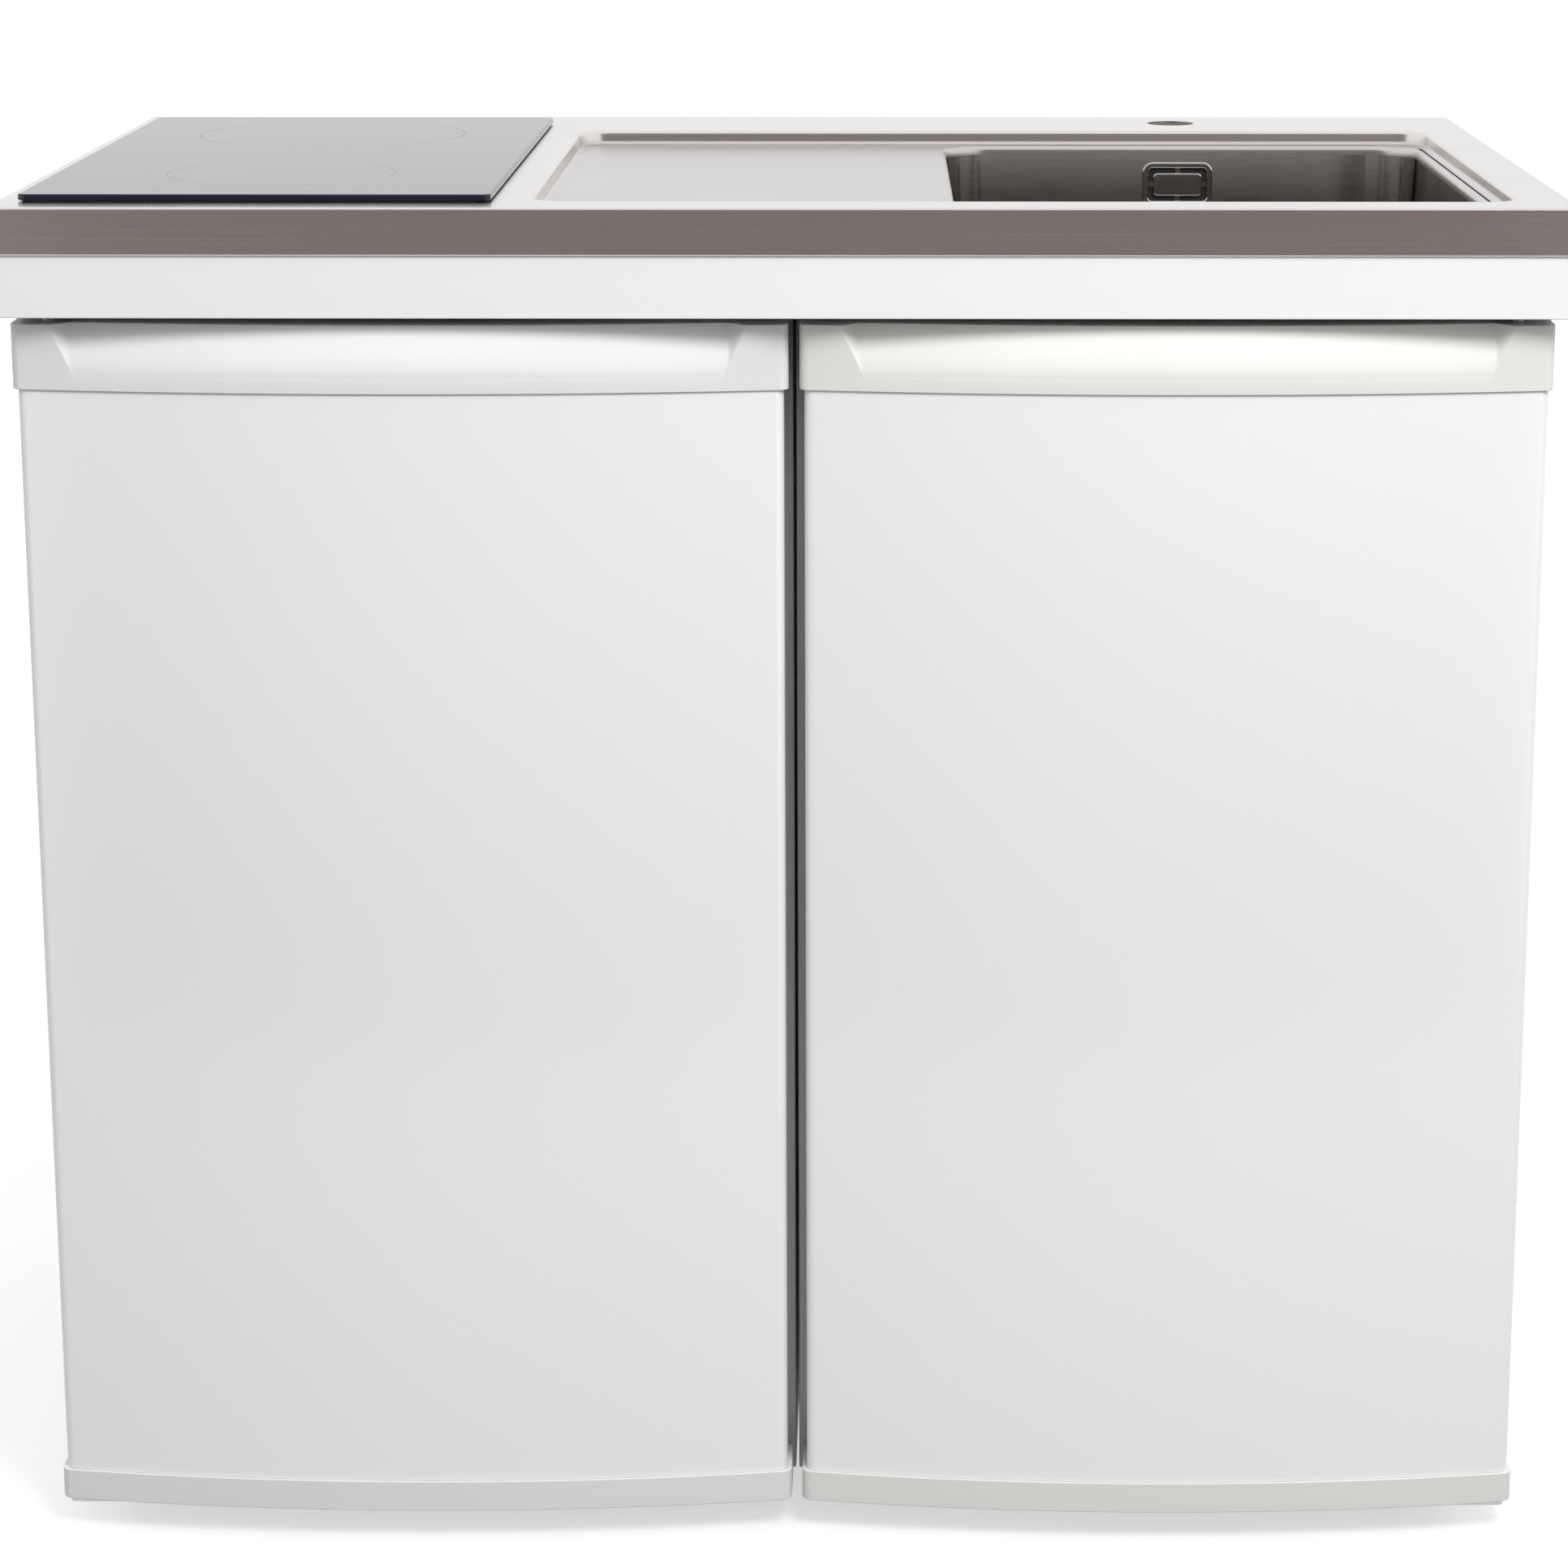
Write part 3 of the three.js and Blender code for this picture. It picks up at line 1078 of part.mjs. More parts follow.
function icebox() {
  const tube = (by, y0, y1) => prismY(
    rectangle(ICEBOX.x0 + by, ICEBOX.x1 - by, ICEBOX.z0 + by, ICEBOX.z1 - by, ICEBOX_RADIUS - by), y0, y1);
  const hanger = (x, y) => block(x - 12, x + 12, y - 12, y + 12, ICEBOX.z1 - 1, CAVITY.z1);
  const ear = (x0, x1) => block(x0, x1, FLAP_REAR - FLAP - 1, ICEBOX.y0 + 1, FLAP_PIN_Z - 8, FLAP_PIN_Z + 5);
  const hangers = [ICEBOX.x0 + 40, ICEBOX.x1 - 40].flatMap((x) =>
    [ICEBOX.y0 + 30, ICEBOX.y1 - 30].map((y) => hanger(x, y)));
  return join([
    tube(0, ICEBOX.y0, ICEBOX.y1),
    ear(ICEBOX.x0, ICEBOX.x0 + ICEBOX_WALL),
    ear(ICEBOX.x1 - ICEBOX_WALL, ICEBOX.x1),
    ...hangers,
  ]).subtract(tube(ICEBOX_WALL, ICEBOX.y0 - CUT, ICEBOX.y1 - ICEBOX_WALL))
    .subtract(crossBar(ICEBOX.x0 - CUT, ICEBOX.x1 + CUT, FLAP_PIN_Y, FLAP_PIN_Z, FLAP_PIN_RADIUS + FIT));
}

// A plain flap with a grip moulded along its lower edge and a pin at each upper corner.
function iceboxFlap() {
  const x0 = ICEBOX.x0 + ICEBOX_WALL + RUN;
  const x1 = ICEBOX.x1 - ICEBOX_WALL - RUN;
  const front = FLAP_REAR - FLAP;
  const low = ICEBOX.z0 + 1;
  return join([
    prismY(rectangle(x0, x1, low, FLAP_PIN_Z + 4, 4), front, FLAP_REAR),
    prismX(roundedShape([
      [front + 1, low + 2],
      [front + 1, low + 16],
      [front - 8, low + 10],
      [front - 8, low + 5],
    ], 1), (x0 + x1) / 2 - 50, (x0 + x1) / 2 + 50),
    crossBar(ICEBOX.x0 + 0.2, ICEBOX.x1 - 0.2, FLAP_PIN_Y, FLAP_PIN_Z, FLAP_PIN_RADIUS),
  ]);
}

// ---- Shelves and crisper --------------------------------------------------------------------------

function glassShelf(y1) {
  const outline = { x0: CAVITY.x0 + RUN, x1: CAVITY.x1 - RUN, y0: SHELF_FRONT, y1 };
  return loft([ring(outline, 6, 0, 3), ring(outline, 6, SHELF_THICKNESS, 3)]);
}

const CRISPER = {
  x0: CAVITY.x0 + RIB + 2 * RUN,
  x1: CAVITY.x1 - RIB - 2 * RUN,
  y0: SHELF_FRONT + 4,
  y1: STEP_Y - 12,
};

// A tapered tub with a rolled front edge for the fingers.
function crisperDrawer() {
  const low = CAVITY.z0 + FIT;
  const high = CRISPER_TOP;
  const taper = 8;
  const mouth = inset(CRISPER, CRISPER_WALL);
  const grip = prismX(roundedShape([
    [CRISPER.y0 + 1, high],
    [CRISPER.y0 - 12, high],
    [CRISPER.y0 - 12, high - 12],
    [CRISPER.y0 - 9, high - 12],
    [CRISPER.y0 - 9, high - 3],
    [CRISPER.y0 + 1, high - 3],
  ], 0), FRIDGE_MIDDLE - 80, FRIDGE_MIDDLE + 80);
  return loft([ring(inset(CRISPER, taper), 14, low), ring(CRISPER, 18, high)])
    .subtract(loft([
      ring(inset(CRISPER, taper + CRISPER_WALL), 12, low + CRISPER_WALL),
      ring(mouth, 16, high + 0.01),
    ]))
    .add(grip.subtract(loft([ring(mouth, 16, high - 20), ring(mouth, 16, high + CUT)])));
}

// ---- Thermostat -------------------------------------------------------------------------------------

const STAT = {
  x0: CAVITY.x1 - THERMOSTAT_WIDTH,
  x1: CAVITY.x1,
  y0: SHELF_FRONT + THERMOSTAT_FROM_SHELF_FRONT,
  y1: SHELF_FRONT + THERMOSTAT_FROM_SHELF_FRONT + THERMOSTAT_LENGTH,
  z0: SHELF_LEVELS[1] + THERMOSTAT_ABOVE_SHELF,
  z1: SHELF_LEVELS[1] + THERMOSTAT_ABOVE_SHELF + THERMOSTAT_HEIGHT,
};
const KNOB_RADIUS = 13;

function thermostatHousing() {
  const window = prismX(roundedShape([
    [STAT.y0 + 45, STAT.z0 + 14],
    [STAT.y1 - 12, STAT.z0 + 14],
    [STAT.y1 - 12, STAT.z1 - 14],
    [STAT.y0 + 45, STAT.z1 - 14],
  ], 5), STAT.x0 - CUT, STAT.x0 + 2);
  return prismX(roundedShape([
    [STAT.y0, STAT.z0],
    [STAT.y1, STAT.z0],
    [STAT.y1, STAT.z1],
    [STAT.y0, STAT.z1],
  ], 8), STAT.x0, STAT.x1)
    .subtract(window);
}

// A knob on a cross-wise axis that points out of the housing's front, with a pointer rib.
function thermostatKnob() {
  const body = revolve([
    [0, 0],
    [KNOB_RADIUS, 0],
    [KNOB_RADIUS, 4],
    [KNOB_RADIUS - 2, 13],
    [0, 13],
  ]);
  return body.add(block(-2, 2, 0, KNOB_RADIUS - 1.5, 12, 15)).rotate([90, 0, 0]);
}

// ---- Cooling circuit --------------------------------------------------------------------------------

const COMPRESSOR = {
  x: FRIDGE_MIDDLE,
  y: (NICHE.y0 + FRIDGE.y1) / 2,
  z: NICHE.z0,
};
const POT_HEIGHT = NICHE.z1 - NICHE.z0 - COMPRESSOR_LIFT - DRIP_TRAY_HEIGHT - NICHE_HEADROOM;
const STUB_X = -COMPRESSOR_RADIUS * COMPRESSOR_STRETCH - COMPRESSOR_STUB;
const STUB_LEVEL = COMPRESSOR_LIFT + POT_HEIGHT * 0.65;

// A two-part welded pot on a plate with four rubber feet, and the stub that its pipe joins.
function compressor() {
  const low = COMPRESSOR_LIFT;
  const half = POT_HEIGHT / 2;
  const dome = (from, to) => span(from, to, 4).map((degrees) => {
    const angle = THREE.MathUtils.degToRad(degrees);
    return [COMPRESSOR_RADIUS * Math.cos(angle) ** 0.6, low + half + half * Math.sign(angle)
      * Math.abs(Math.sin(angle)) ** 0.8];
  });
  const lower = dome(-90, -6);
  const upper = dome(6, 90);
  lower[0][0] = 0;
  upper[4][0] = 0;
  const seam = COMPRESSOR_RADIUS + 3;
  const pot = revolve([
    ...lower,
    [seam, low + half - 2],
    [seam, low + half + 2],
    ...upper,
  ]).scale([COMPRESSOR_STRETCH, 1, 1]);
  const outline = around(2 * (COMPRESSOR_RADIUS * COMPRESSOR_STRETCH + COMPRESSOR_PLATE_MARGIN),
    2 * COMPRESSOR_RADIUS - 4);
  const plate = loft([ring(outline, 12, COMPRESSOR_FOOT), ring(outline, 12, COMPRESSOR_FOOT + 6)]);
  const { x1: footX, y1: footY } = inset(outline, 12);
  const feet = [-footX, footX].flatMap((x) =>
    [-footY, footY].map((y) => disc(9, 0, COMPRESSOR_FOOT + 1, x, y, 12)));
  const stub = bar([
    new THREE.Vector3(-COMPRESSOR_RADIUS, 0, STUB_LEVEL),
    new THREE.Vector3(STUB_X, 0, STUB_LEVEL),
  ], 4, 10);
  return join([pot, plate, ...feet, stub]);
}

const CONDENSER = {
  x0: FRIDGE.x0 + 30,
  x1: FRIDGE.x1 - 30,
  y: FRIDGE.y1 + CONDENSER_STANDOFF,
  z0: NICHE.z1 + 60,
  z1: FRAME_BOTTOM - 30,
};

// One tube laid to and fro up the back, wires across it, stand-offs to the cabinet, and its run down to
// the compressor.
function condenserGrid() {
  const { x0, x1, y, z0, z1 } = CONDENSER;
  const runs = Math.max(2, Math.floor((z1 - z0) / CONDENSER_PITCH));
  const corners = [];
  for (let i = runs; i >= 0; i -= 1) {
    const z = z0 + i * CONDENSER_PITCH;
    const [start, end] = i % 2 === 0 ? [x1, x0] : [x0, x1];
    corners.push([start, y, z], [end, y, z]);
  }
  const joinZ = COMPRESSOR.z + STUB_LEVEL;
  corners.push([x0, y, joinZ], [x0, COMPRESSOR.y, joinZ]);
  corners.push([COMPRESSOR.x + STUB_X - FIT, COMPRESSOR.y, joinZ]);
  const tube = bar(route(corners, CONDENSER_PITCH / 2 - 3, 2), CONDENSER_TUBE_RADIUS, 5);
  const wireY = y + CONDENSER_TUBE_RADIUS;
  const [outerX0, outerX1] = [x0 + CONDENSER_WIRE_MARGIN, x1 - CONDENSER_WIRE_MARGIN];
  const wires = span(outerX0, outerX1, 3).map((x) =>
    block(x - 1, x + 1, wireY - 1, wireY + 1, z0 - 12, z0 + runs * CONDENSER_PITCH + 12));
  const standOff = (x, z) => block(x - 5, x + 5, FRIDGE.y1, wireY, z - 6, z + 6);
  const held = [outerX0, outerX1].flatMap((x) =>
    [z0 + CONDENSER_PITCH / 2, z0 + (runs - 0.5) * CONDENSER_PITCH].map((z) => standOff(x, z)));
  return join([tube, ...wires, ...held]);
}

function dripTray() {
  const outside = around(DRIP_TRAY_WIDTH, DRIP_TRAY_LENGTH);
  return loft([ring(inset(outside, 5), 8, 0, 3), ring(outside, 10, DRIP_TRAY_HEIGHT, 3)])
    .subtract(loft([
      ring(inset(outside, 6.5), 7, 2, 3),
      ring(inset(outside, 2), 9, DRIP_TRAY_HEIGHT + CUT, 3),
    ]));
}

// ---- Feet -------------------------------------------------------------------------------------------

// A screw-in foot: a round pad under a stem that ends at what it carries.
function foot(height) {
  return revolve([
    [0, 0],
    [FOOT_RADIUS, 0],
    [FOOT_RADIUS, 7],
    [FOOT_RADIUS - 4, 12],
    [FOOT_STEM_RADIUS, 12],
    [FOOT_STEM_RADIUS, height],
    [0, height],
  ], 12);
}

const fridge = assembly();
piece(fridge, 'fridge_cabinet', fridgeCabinet(), WHITE_ENAMEL);
piece(fridge, 'fridge_liner', fridgeLiner(), LINER_PLASTIC);
piece(fridge, 'icebox', icebox(), ALUMINIUM);
piece(fridge, 'icebox_flap', iceboxFlap(), CLEAR_PLASTIC);
piece(fridge, 'shelf_lower', glassShelf(CAVITY.y1 - 8), CLEAR_GLASS, 0, 0, SHELF_LEVELS[0]);
piece(fridge, 'shelf_upper', glassShelf(CAVITY.y1 - 8), CLEAR_GLASS, 0, 0, SHELF_LEVELS[1]);
piece(fridge, 'crisper_cover', glassShelf(STEP_Y - 2), CLEAR_GLASS, 0, 0, CRISPER_TOP + RUN + 6);
piece(fridge, 'crisper_drawer', crisperDrawer(), CLEAR_PLASTIC);
piece(fridge, 'thermostat_housing', thermostatHousing(), LINER_PLASTIC);
piece(fridge, 'thermostat_knob', thermostatKnob(), WHITE_PLASTIC,
  (STAT.x0 + STAT.x1) / 2, STAT.y0 - FIT, (STAT.z0 + STAT.z1) / 2);
piece(fridge, 'compressor', compressor(), BLACK_STEEL, COMPRESSOR.x, COMPRESSOR.y, COMPRESSOR.z);
piece(fridge, 'condenser_grid', condenserGrid(), BLACK_STEEL);
piece(fridge, 'drip_tray', dripTray(), BLACK_STEEL,
  COMPRESSOR.x, COMPRESSOR.y, COMPRESSOR.z + COMPRESSOR_LIFT + POT_HEIGHT + FIT);
piece(fridge, 'fridge_foot_left', foot(UNIT_BOTTOM), BLACK_RUBBER,
  FRIDGE.x0 + FOOT_FROM_SIDE, UNIT_FRONT + FOOT_FROM_FRONT, 0);
piece(fridge, 'fridge_foot_right', foot(UNIT_BOTTOM), BLACK_RUBBER,
  FRIDGE.x1 - FOOT_FROM_SIDE, UNIT_FRONT + FOOT_FROM_FRONT, 0);

// ---------------------------------------------------------------------------------------------------
// Cupboard
// ---------------------------------------------------------------------------------------------------

// One sheet folded round both sides and the back, with returns in front and on top, a rail across the
// front's top, and an opening behind the trap for the house's pipes.
function cupboardShell() {
  const t = CUPBOARD_SHEET;
  const { x0, x1, y1 } = CUPBOARD;
  const y0 = UNIT_FRONT;
  const wrap = rectangle(x0, x1, y0, y1);
  wrap.holes.push(rectangle(x0 + t, x1 - t, y0 + t, y1 - t));
  const front = rectangle(x0 + CUPBOARD_FLANGE, x1 - CUPBOARD_FLANGE,
    UNIT_BOTTOM - CUT, FRAME_BOTTOM - CUPBOARD_RAIL);
  const topFlange = rectangle(x0, x1, y0, y1);
  topFlange.holes.push(rectangle(x0 + CUPBOARD_FLANGE, x1 - CUPBOARD_FLANGE, y0 + 10, y1 - CUPBOARD_FLANGE));
  const outletZ = BOWL_FLOOR + TRAP_OUTLET_Z;
  const service = rectangle(SINK_X - SERVICE_WIDTH / 2, SINK_X + SERVICE_WIDTH / 2,
    outletZ - SERVICE_HEIGHT / 2, outletZ + SERVICE_HEIGHT / 2, 10);
  return prismZ(wrap, UNIT_BOTTOM, FRAME_BOTTOM)
    .subtract(prismY(front, y0 - CUT, y0 + t + CUT))
    .add(prismZ(topFlange, FRAME_BOTTOM - t, FRAME_BOTTOM))
    .subtract(prismY(service, y1 - t - CUT, y1 + CUT));
}

// A floor pan with turned-down edges.
function cupboardBottom() {
  const t = CUPBOARD_SHEET;
  const gap = t + FIT;
  const outside = {
    x0: CUPBOARD.x0 + gap,
    x1: CUPBOARD.x1 - gap,
    y0: UNIT_FRONT + gap,
    y1: CUPBOARD.y1 - gap,
  };
  const inside = inset(outside, t);
  const high = UNIT_BOTTOM + PAN_HEIGHT;
  return block(outside.x0, outside.x1, outside.y0, outside.y1, UNIT_BOTTOM, high)
    .subtract(block(inside.x0, inside.x1, inside.y0, inside.y1, UNIT_BOTTOM - CUT, high - t));
}

const cupboard = assembly();
piece(cupboard, 'cupboard_shell', cupboardShell(), WHITE_ENAMEL);
piece(cupboard, 'cupboard_bottom', cupboardBottom(), WHITE_ENAMEL);
for (const [end, y] of [['front', UNIT_FRONT + FOOT_FROM_FRONT], ['rear', CUPBOARD.y1 - FOOT_FROM_REAR]]) {
  for (const [side, x] of [['left', CUPBOARD.x0 + FOOT_FROM_SIDE], ['right', CUPBOARD.x1 - FOOT_FROM_SIDE]]) {
    piece(cupboard, `cupboard_foot_${end}_${side}`, foot(UNIT_BOTTOM + PAN_HEIGHT - CUPBOARD_SHEET),
      BLACK_RUBBER, x, y, 0);
  }
}

// ---------------------------------------------------------------------------------------------------
// Doors
// ---------------------------------------------------------------------------------------------------

// The bowed front of a door: Y at a place along it. The bow is one arc through both ends and the crown.
function bowAt(door, x) {
  const half = (door.x1 - door.x0) / 2;
  const radius = (half * half + DOOR_BOW * DOOR_BOW) / (2 * DOOR_BOW);
  const off = x - (door.x0 + door.x1) / 2;
  return FRONT + radius - Math.sqrt(radius * radius - off * off);
}

// A door's outline from above: straight at the rear, bowed in front between round corners, and drawn in
// by two insets.
function doorOutline(door, side, front) {
  const shape = new THREE.Shape();
  const [x0, x1] = [door.x0 + side, door.x1 - side];
  const bow = span(x1 - DOOR_CORNER, x0 + DOOR_CORNER, BOW_SEGMENTS)
    .map((x) => new THREE.Vector2(x, bowAt(door, x) + front));
  const endY = bowAt(door, x1) + front;
  shape.moveTo(x0, DOOR_REAR);
  shape.lineTo(x1, DOOR_REAR);
  shape.lineTo(x1, endY + DOOR_CORNER);
  shape.quadraticCurveTo(x1, endY, bow[0].x, bow[0].y);
  bow.slice(1).forEach(({ x, y }) => shape.lineTo(x, y));
  shape.quadraticCurveTo(x0, endY, x0, endY + DOOR_CORNER);
  shape.closePath();
  return shape;
}

const pinX = (door) => (door.side < 0 ? door.x0 + PIN_FROM_SIDE : door.x1 - PIN_FROM_SIDE);
const PANEL_BOTTOM = DOOR_BOTTOM + BOTTOM_TRIM;
const PANEL_TOP = DOOR_TOP - TOP_TRIM;

function doorPanel(door) {
  return prismZ(doorOutline(door, TRIM_PROUD, TRIM_PROUD_FRONT), PANEL_BOTTOM, PANEL_TOP, 3);
}

// The hollow for the fingers. It starts level with the bowed front, sinks in towards the door's top and
// ends in slanted walls, so it is a loft of outlines that grow upwards.
function scoop(door) {
  const bottom = DOOR_TOP - SCOOP_HEIGHT;
  const sections = span(0, 1, 6).map((t) => {
    const depth = SCOOP_DEPTH * (1 - Math.cos(t * Math.PI / 2));
    const z = bottom + SCOOP_HEIGHT * t;
    const end = SCOOP_END_INSET + (1 - t) * SCOOP_END_INSET * 0.6;
    const slant = depth * SCOOP_END_SLOPE;
    const [x0, x1] = [door.x0 + end, door.x1 - end];
    const floor = span(x1 - slant, x0 + slant, BOW_SEGMENTS).map((x) =>
      new THREE.Vector3(x, bowAt(door, x) + depth, z));
    const clear = FRONT - CUT;
    return [
      new THREE.Vector3(x0, clear, z),
      new THREE.Vector3(x1, clear, z),
      new THREE.Vector3(x1, bowAt(door, x1), z),
      ...floor,
      new THREE.Vector3(x0, bowAt(door, x0), z),
    ];
  });
  const lid = sections[sections.length - 1].map((point) => point.clone().setZ(DOOR_TOP + CUT));
  return loft([...sections, lid]);
}

function doorTopTrim(door) {
  const hole = disc(PIN_RADIUS + FIT, DOOR_TOP - PIN_LENGTH, DOOR_TOP + CUT, pinX(door), PIN_Y);
  return prismZ(doorOutline(door, 0, 0), PANEL_TOP, DOOR_TOP, 3)
    .subtract(scoop(door))
    .subtract(hole);
}

function doorBottomTrim(door) {
  const hole = disc(PIN_RADIUS + FIT, DOOR_BOTTOM - CUT, DOOR_BOTTOM + PIN_LENGTH, pinX(door), PIN_Y);
  return prismZ(doorOutline(door, 0, 0), DOOR_BOTTOM, PANEL_BOTTOM, 3).subtract(hole);
}

// Where the seal runs: the middle opening of the door's rear, seen from behind.
function sealOutline(door) {
  return {
    x0: door.x0 + PIN_FROM_SIDE + RUN,
    x1: door.x1 - PIN_FROM_SIDE - RUN,
    y0: UNIT_BOTTOM + FRIDGE_WALL - GASKET_WIDTH,
    y1: FRAME_BOTTOM - FRIDGE_WALL + GASKET_WIDTH,
  };
}

function doorGasket(door, reach) {
  const outside = sealOutline(door);
  const inside = inset(outside, GASKET_WIDTH);
  const shape = rectangle(outside.x0, outside.x1, outside.y0, outside.y1, 3);
  shape.holes.push(rectangle(inside.x0, inside.x1, inside.y0, inside.y1, 1));
  return prismY(shape, DOOR_REAR, DOOR_REAR + reach, 2);
}

// The refrigerator door's raised rim enters the cavity. It keeps clear of the side that it swings past.
const DYKE = {
  x0: CAVITY.x0 + 3 * RUN,
  x1: CAVITY.x1 - DYKE_SWING,
  y0: CAVITY.z0 + 3 * RUN,
  y1: CAVITY.z1 - 3 * RUN,
};

// The inner panel fills the seal's middle. A raised rim stands on it.
function doorLiner(door, edge, height) {
  const outside = inset(sealOutline(door), GASKET_WIDTH + FIT);
  const panel = prismY(rectangle(outside.x0, outside.x1, outside.y0, outside.y1, 3),
    DOOR_REAR, DOOR_REAR + LINER, 2);
  const inside = inset(edge, DYKE_WIDTH);
  const rim = rectangle(edge.x0, edge.x1, edge.y0, edge.y1, 14);
  rim.holes.push(rectangle(inside.x0, inside.x1, inside.y0, inside.y1, 8));
  return panel.add(prismY(rim, DOOR_REAR, DOOR_REAR + height));
}

// A plain tray that hangs between the raised rims.
function doorRack(low, height) {
  const between = inset(DYKE, DYKE_WIDTH + FIT);
  const outline = { x0: between.x0, x1: between.x1, y0: DOOR_REAR + LINER, y1: RACK_REAR };
  return loft([ring(outline, 3, low, 3), ring(outline, 3, low + height, 3)])
    .subtract(loft([
      ring(inset(outline, RACK_WALL), 2, low + RACK_WALL, 3),
      ring(inset(outline, RACK_WALL), 2, low + height + CUT, 3),
    ]));
}

// A hinge's plate with its pin, drawn about the pin's axis with the plate's pin side at zero.
function hinge(reach) {
  const plate = rectangle(-HINGE_PLATE_WIDTH / 2, HINGE_PLATE_WIDTH / 2, -HINGE_PLATE_FRONT, reach, 4);
  return prismZ(plate, -HINGE_PLATE, 0).add(disc(PIN_RADIUS, -1, PIN_LENGTH - 1));
}

const doors = assembly();
piece(doors, 'fridge_door_panel', doorPanel(FRIDGE_DOOR), WHITE_ENAMEL);
piece(doors, 'fridge_door_top_trim', doorTopTrim(FRIDGE_DOOR), WHITE_PLASTIC);
piece(doors, 'fridge_door_bottom_trim', doorBottomTrim(FRIDGE_DOOR), WHITE_PLASTIC);
piece(doors, 'fridge_door_liner', doorLiner(FRIDGE_DOOR, DYKE, DYKE_HEIGHT), LINER_PLASTIC);
piece(doors, 'fridge_door_gasket', doorGasket(FRIDGE_DOOR, GASKET_HEIGHT - FIT), GREY_RUBBER);
piece(doors, 'door_rack_lower', doorRack(CRISPER_TOP + 19, BOTTLE_RACK_HEIGHT), CLEAR_PLASTIC);
piece(doors, 'door_rack_upper', doorRack(SHELF_LEVELS[1] - 10 - UPPER_RACK_HEIGHT, UPPER_RACK_HEIGHT),
  CLEAR_PLASTIC);
piece(doors, 'cupboard_door_panel', doorPanel(CUPBOARD_DOOR), WHITE_ENAMEL);
piece(doors, 'cupboard_door_top_trim', doorTopTrim(CUPBOARD_DOOR), WARM_PLASTIC);
piece(doors, 'cupboard_door_bottom_trim', doorBottomTrim(CUPBOARD_DOOR), WARM_PLASTIC);
piece(doors, 'cupboard_door_liner',
  doorLiner(CUPBOARD_DOOR, inset(sealOutline(CUPBOARD_DOOR), GASKET_WIDTH + 20), 8), WHITE_ENAMEL);
piece(doors, 'cupboard_door_gasket', doorGasket(CUPBOARD_DOOR, GASKET_HEIGHT + LINER - FIT), GREY_RUBBER);

// The lower hinges are screwed under the units, the upper ones, upside down, under the frame's ledge.
const hinges = assembly();
for (const [unit, door] of [['fridge', FRIDGE_DOOR], ['cupboard', CUPBOARD_DOOR]]) {
  piece(hinges, `${unit}_hinge_bottom`, hinge(UNIT_FRONT + LOWER_HINGE_REACH - PIN_Y), ZINC,
    pinX(door), PIN_Y, UNIT_BOTTOM);
  piece(hinges, `${unit}_hinge_top`, hinge(UPPER_HINGE_REACH).scale([1, 1, -1]), ZINC,
    pinX(door), PIN_Y, FRAME_BOTTOM - HINGE_PLATE);
}

export default kitchenette;
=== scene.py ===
"""Looks of a kitchenette: a steel worktop with a glass hob, a sunk drainer and a bowl, on a white frame over
a small refrigerator and a sink cupboard with bowed doors.

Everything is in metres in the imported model's frame: +X to the right, +Y to the wall, +Z up, and the origin on
the floor under the middle of the worktop.
"""

import math

import bmesh
import bpy
import numpy as np
from bpy.props import FloatProperty, FloatVectorProperty, IntProperty, PointerProperty
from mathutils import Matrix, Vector
from mathutils.geometry import delaunay_2d_cdt


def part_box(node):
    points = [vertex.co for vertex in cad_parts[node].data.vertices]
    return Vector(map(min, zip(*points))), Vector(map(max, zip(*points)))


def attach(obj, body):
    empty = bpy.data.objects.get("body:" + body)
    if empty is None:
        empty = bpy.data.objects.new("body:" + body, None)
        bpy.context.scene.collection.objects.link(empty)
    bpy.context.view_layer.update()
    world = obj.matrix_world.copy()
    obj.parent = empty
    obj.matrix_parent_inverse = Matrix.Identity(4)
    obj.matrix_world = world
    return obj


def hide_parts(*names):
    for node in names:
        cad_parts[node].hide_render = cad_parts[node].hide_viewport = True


bl_info = {
    "name": "Kitchenette looks",
    "version": (1, 0, 0),
    "blender": (4, 5, 0),
    "location": "3D View > Sidebar > Kitchenette",
    "description": "Dresses a packed kitchenette model with detailed pieces and finishes",
    "category": "Object",
}

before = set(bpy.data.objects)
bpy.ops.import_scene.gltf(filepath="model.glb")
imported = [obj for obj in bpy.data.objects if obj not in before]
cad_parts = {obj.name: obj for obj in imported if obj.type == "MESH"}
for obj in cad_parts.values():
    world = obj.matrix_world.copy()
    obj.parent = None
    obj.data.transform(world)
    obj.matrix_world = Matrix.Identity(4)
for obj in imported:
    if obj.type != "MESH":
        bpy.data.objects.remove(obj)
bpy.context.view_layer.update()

# ----------------------------------------------------------
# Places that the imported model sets
# ----------------------------------------------------------

TOP = 0.900                                   # worktop's upper face
SKIRT_BOTTOM = 0.870
SHEET = 0.0015
WORKTOP = (-0.500, 0.500, -0.300, 0.300)      # x0, x1, y0, y1, as every plan below
RECESS = (-0.160, 0.466, -0.260, 0.188)
RECESS_FLOOR = 0.890
BOWL = (0.110, 0.455, -0.210, 0.173)
BOWL_CORNER = 0.034                           # radius of the bowl's upright corners
BOWL_FLOOR = 0.740
BOWL_SEAM = 0.884                             # where the bowl's wall meets the worktop's rolled edge
BOWL_LEAN = 0.0474                            # how far the wall leans in for each unit of depth
DRAIN = (0.2825, -0.0185)
DRAIN_HOLE = 0.045                            # radius of the hole in the bowl's floor
TAP_HOLE = (0.2825, 0.248, 0.0175)            # x, y, radius
HOB = (-0.485, -0.185, -0.270, 0.240)
HOB_UNDERSIDE, HOB_TOP = TOP + 0.001, TOP + 0.005
HOB_CUTOUT = (-0.472, -0.198, -0.262, 0.232)
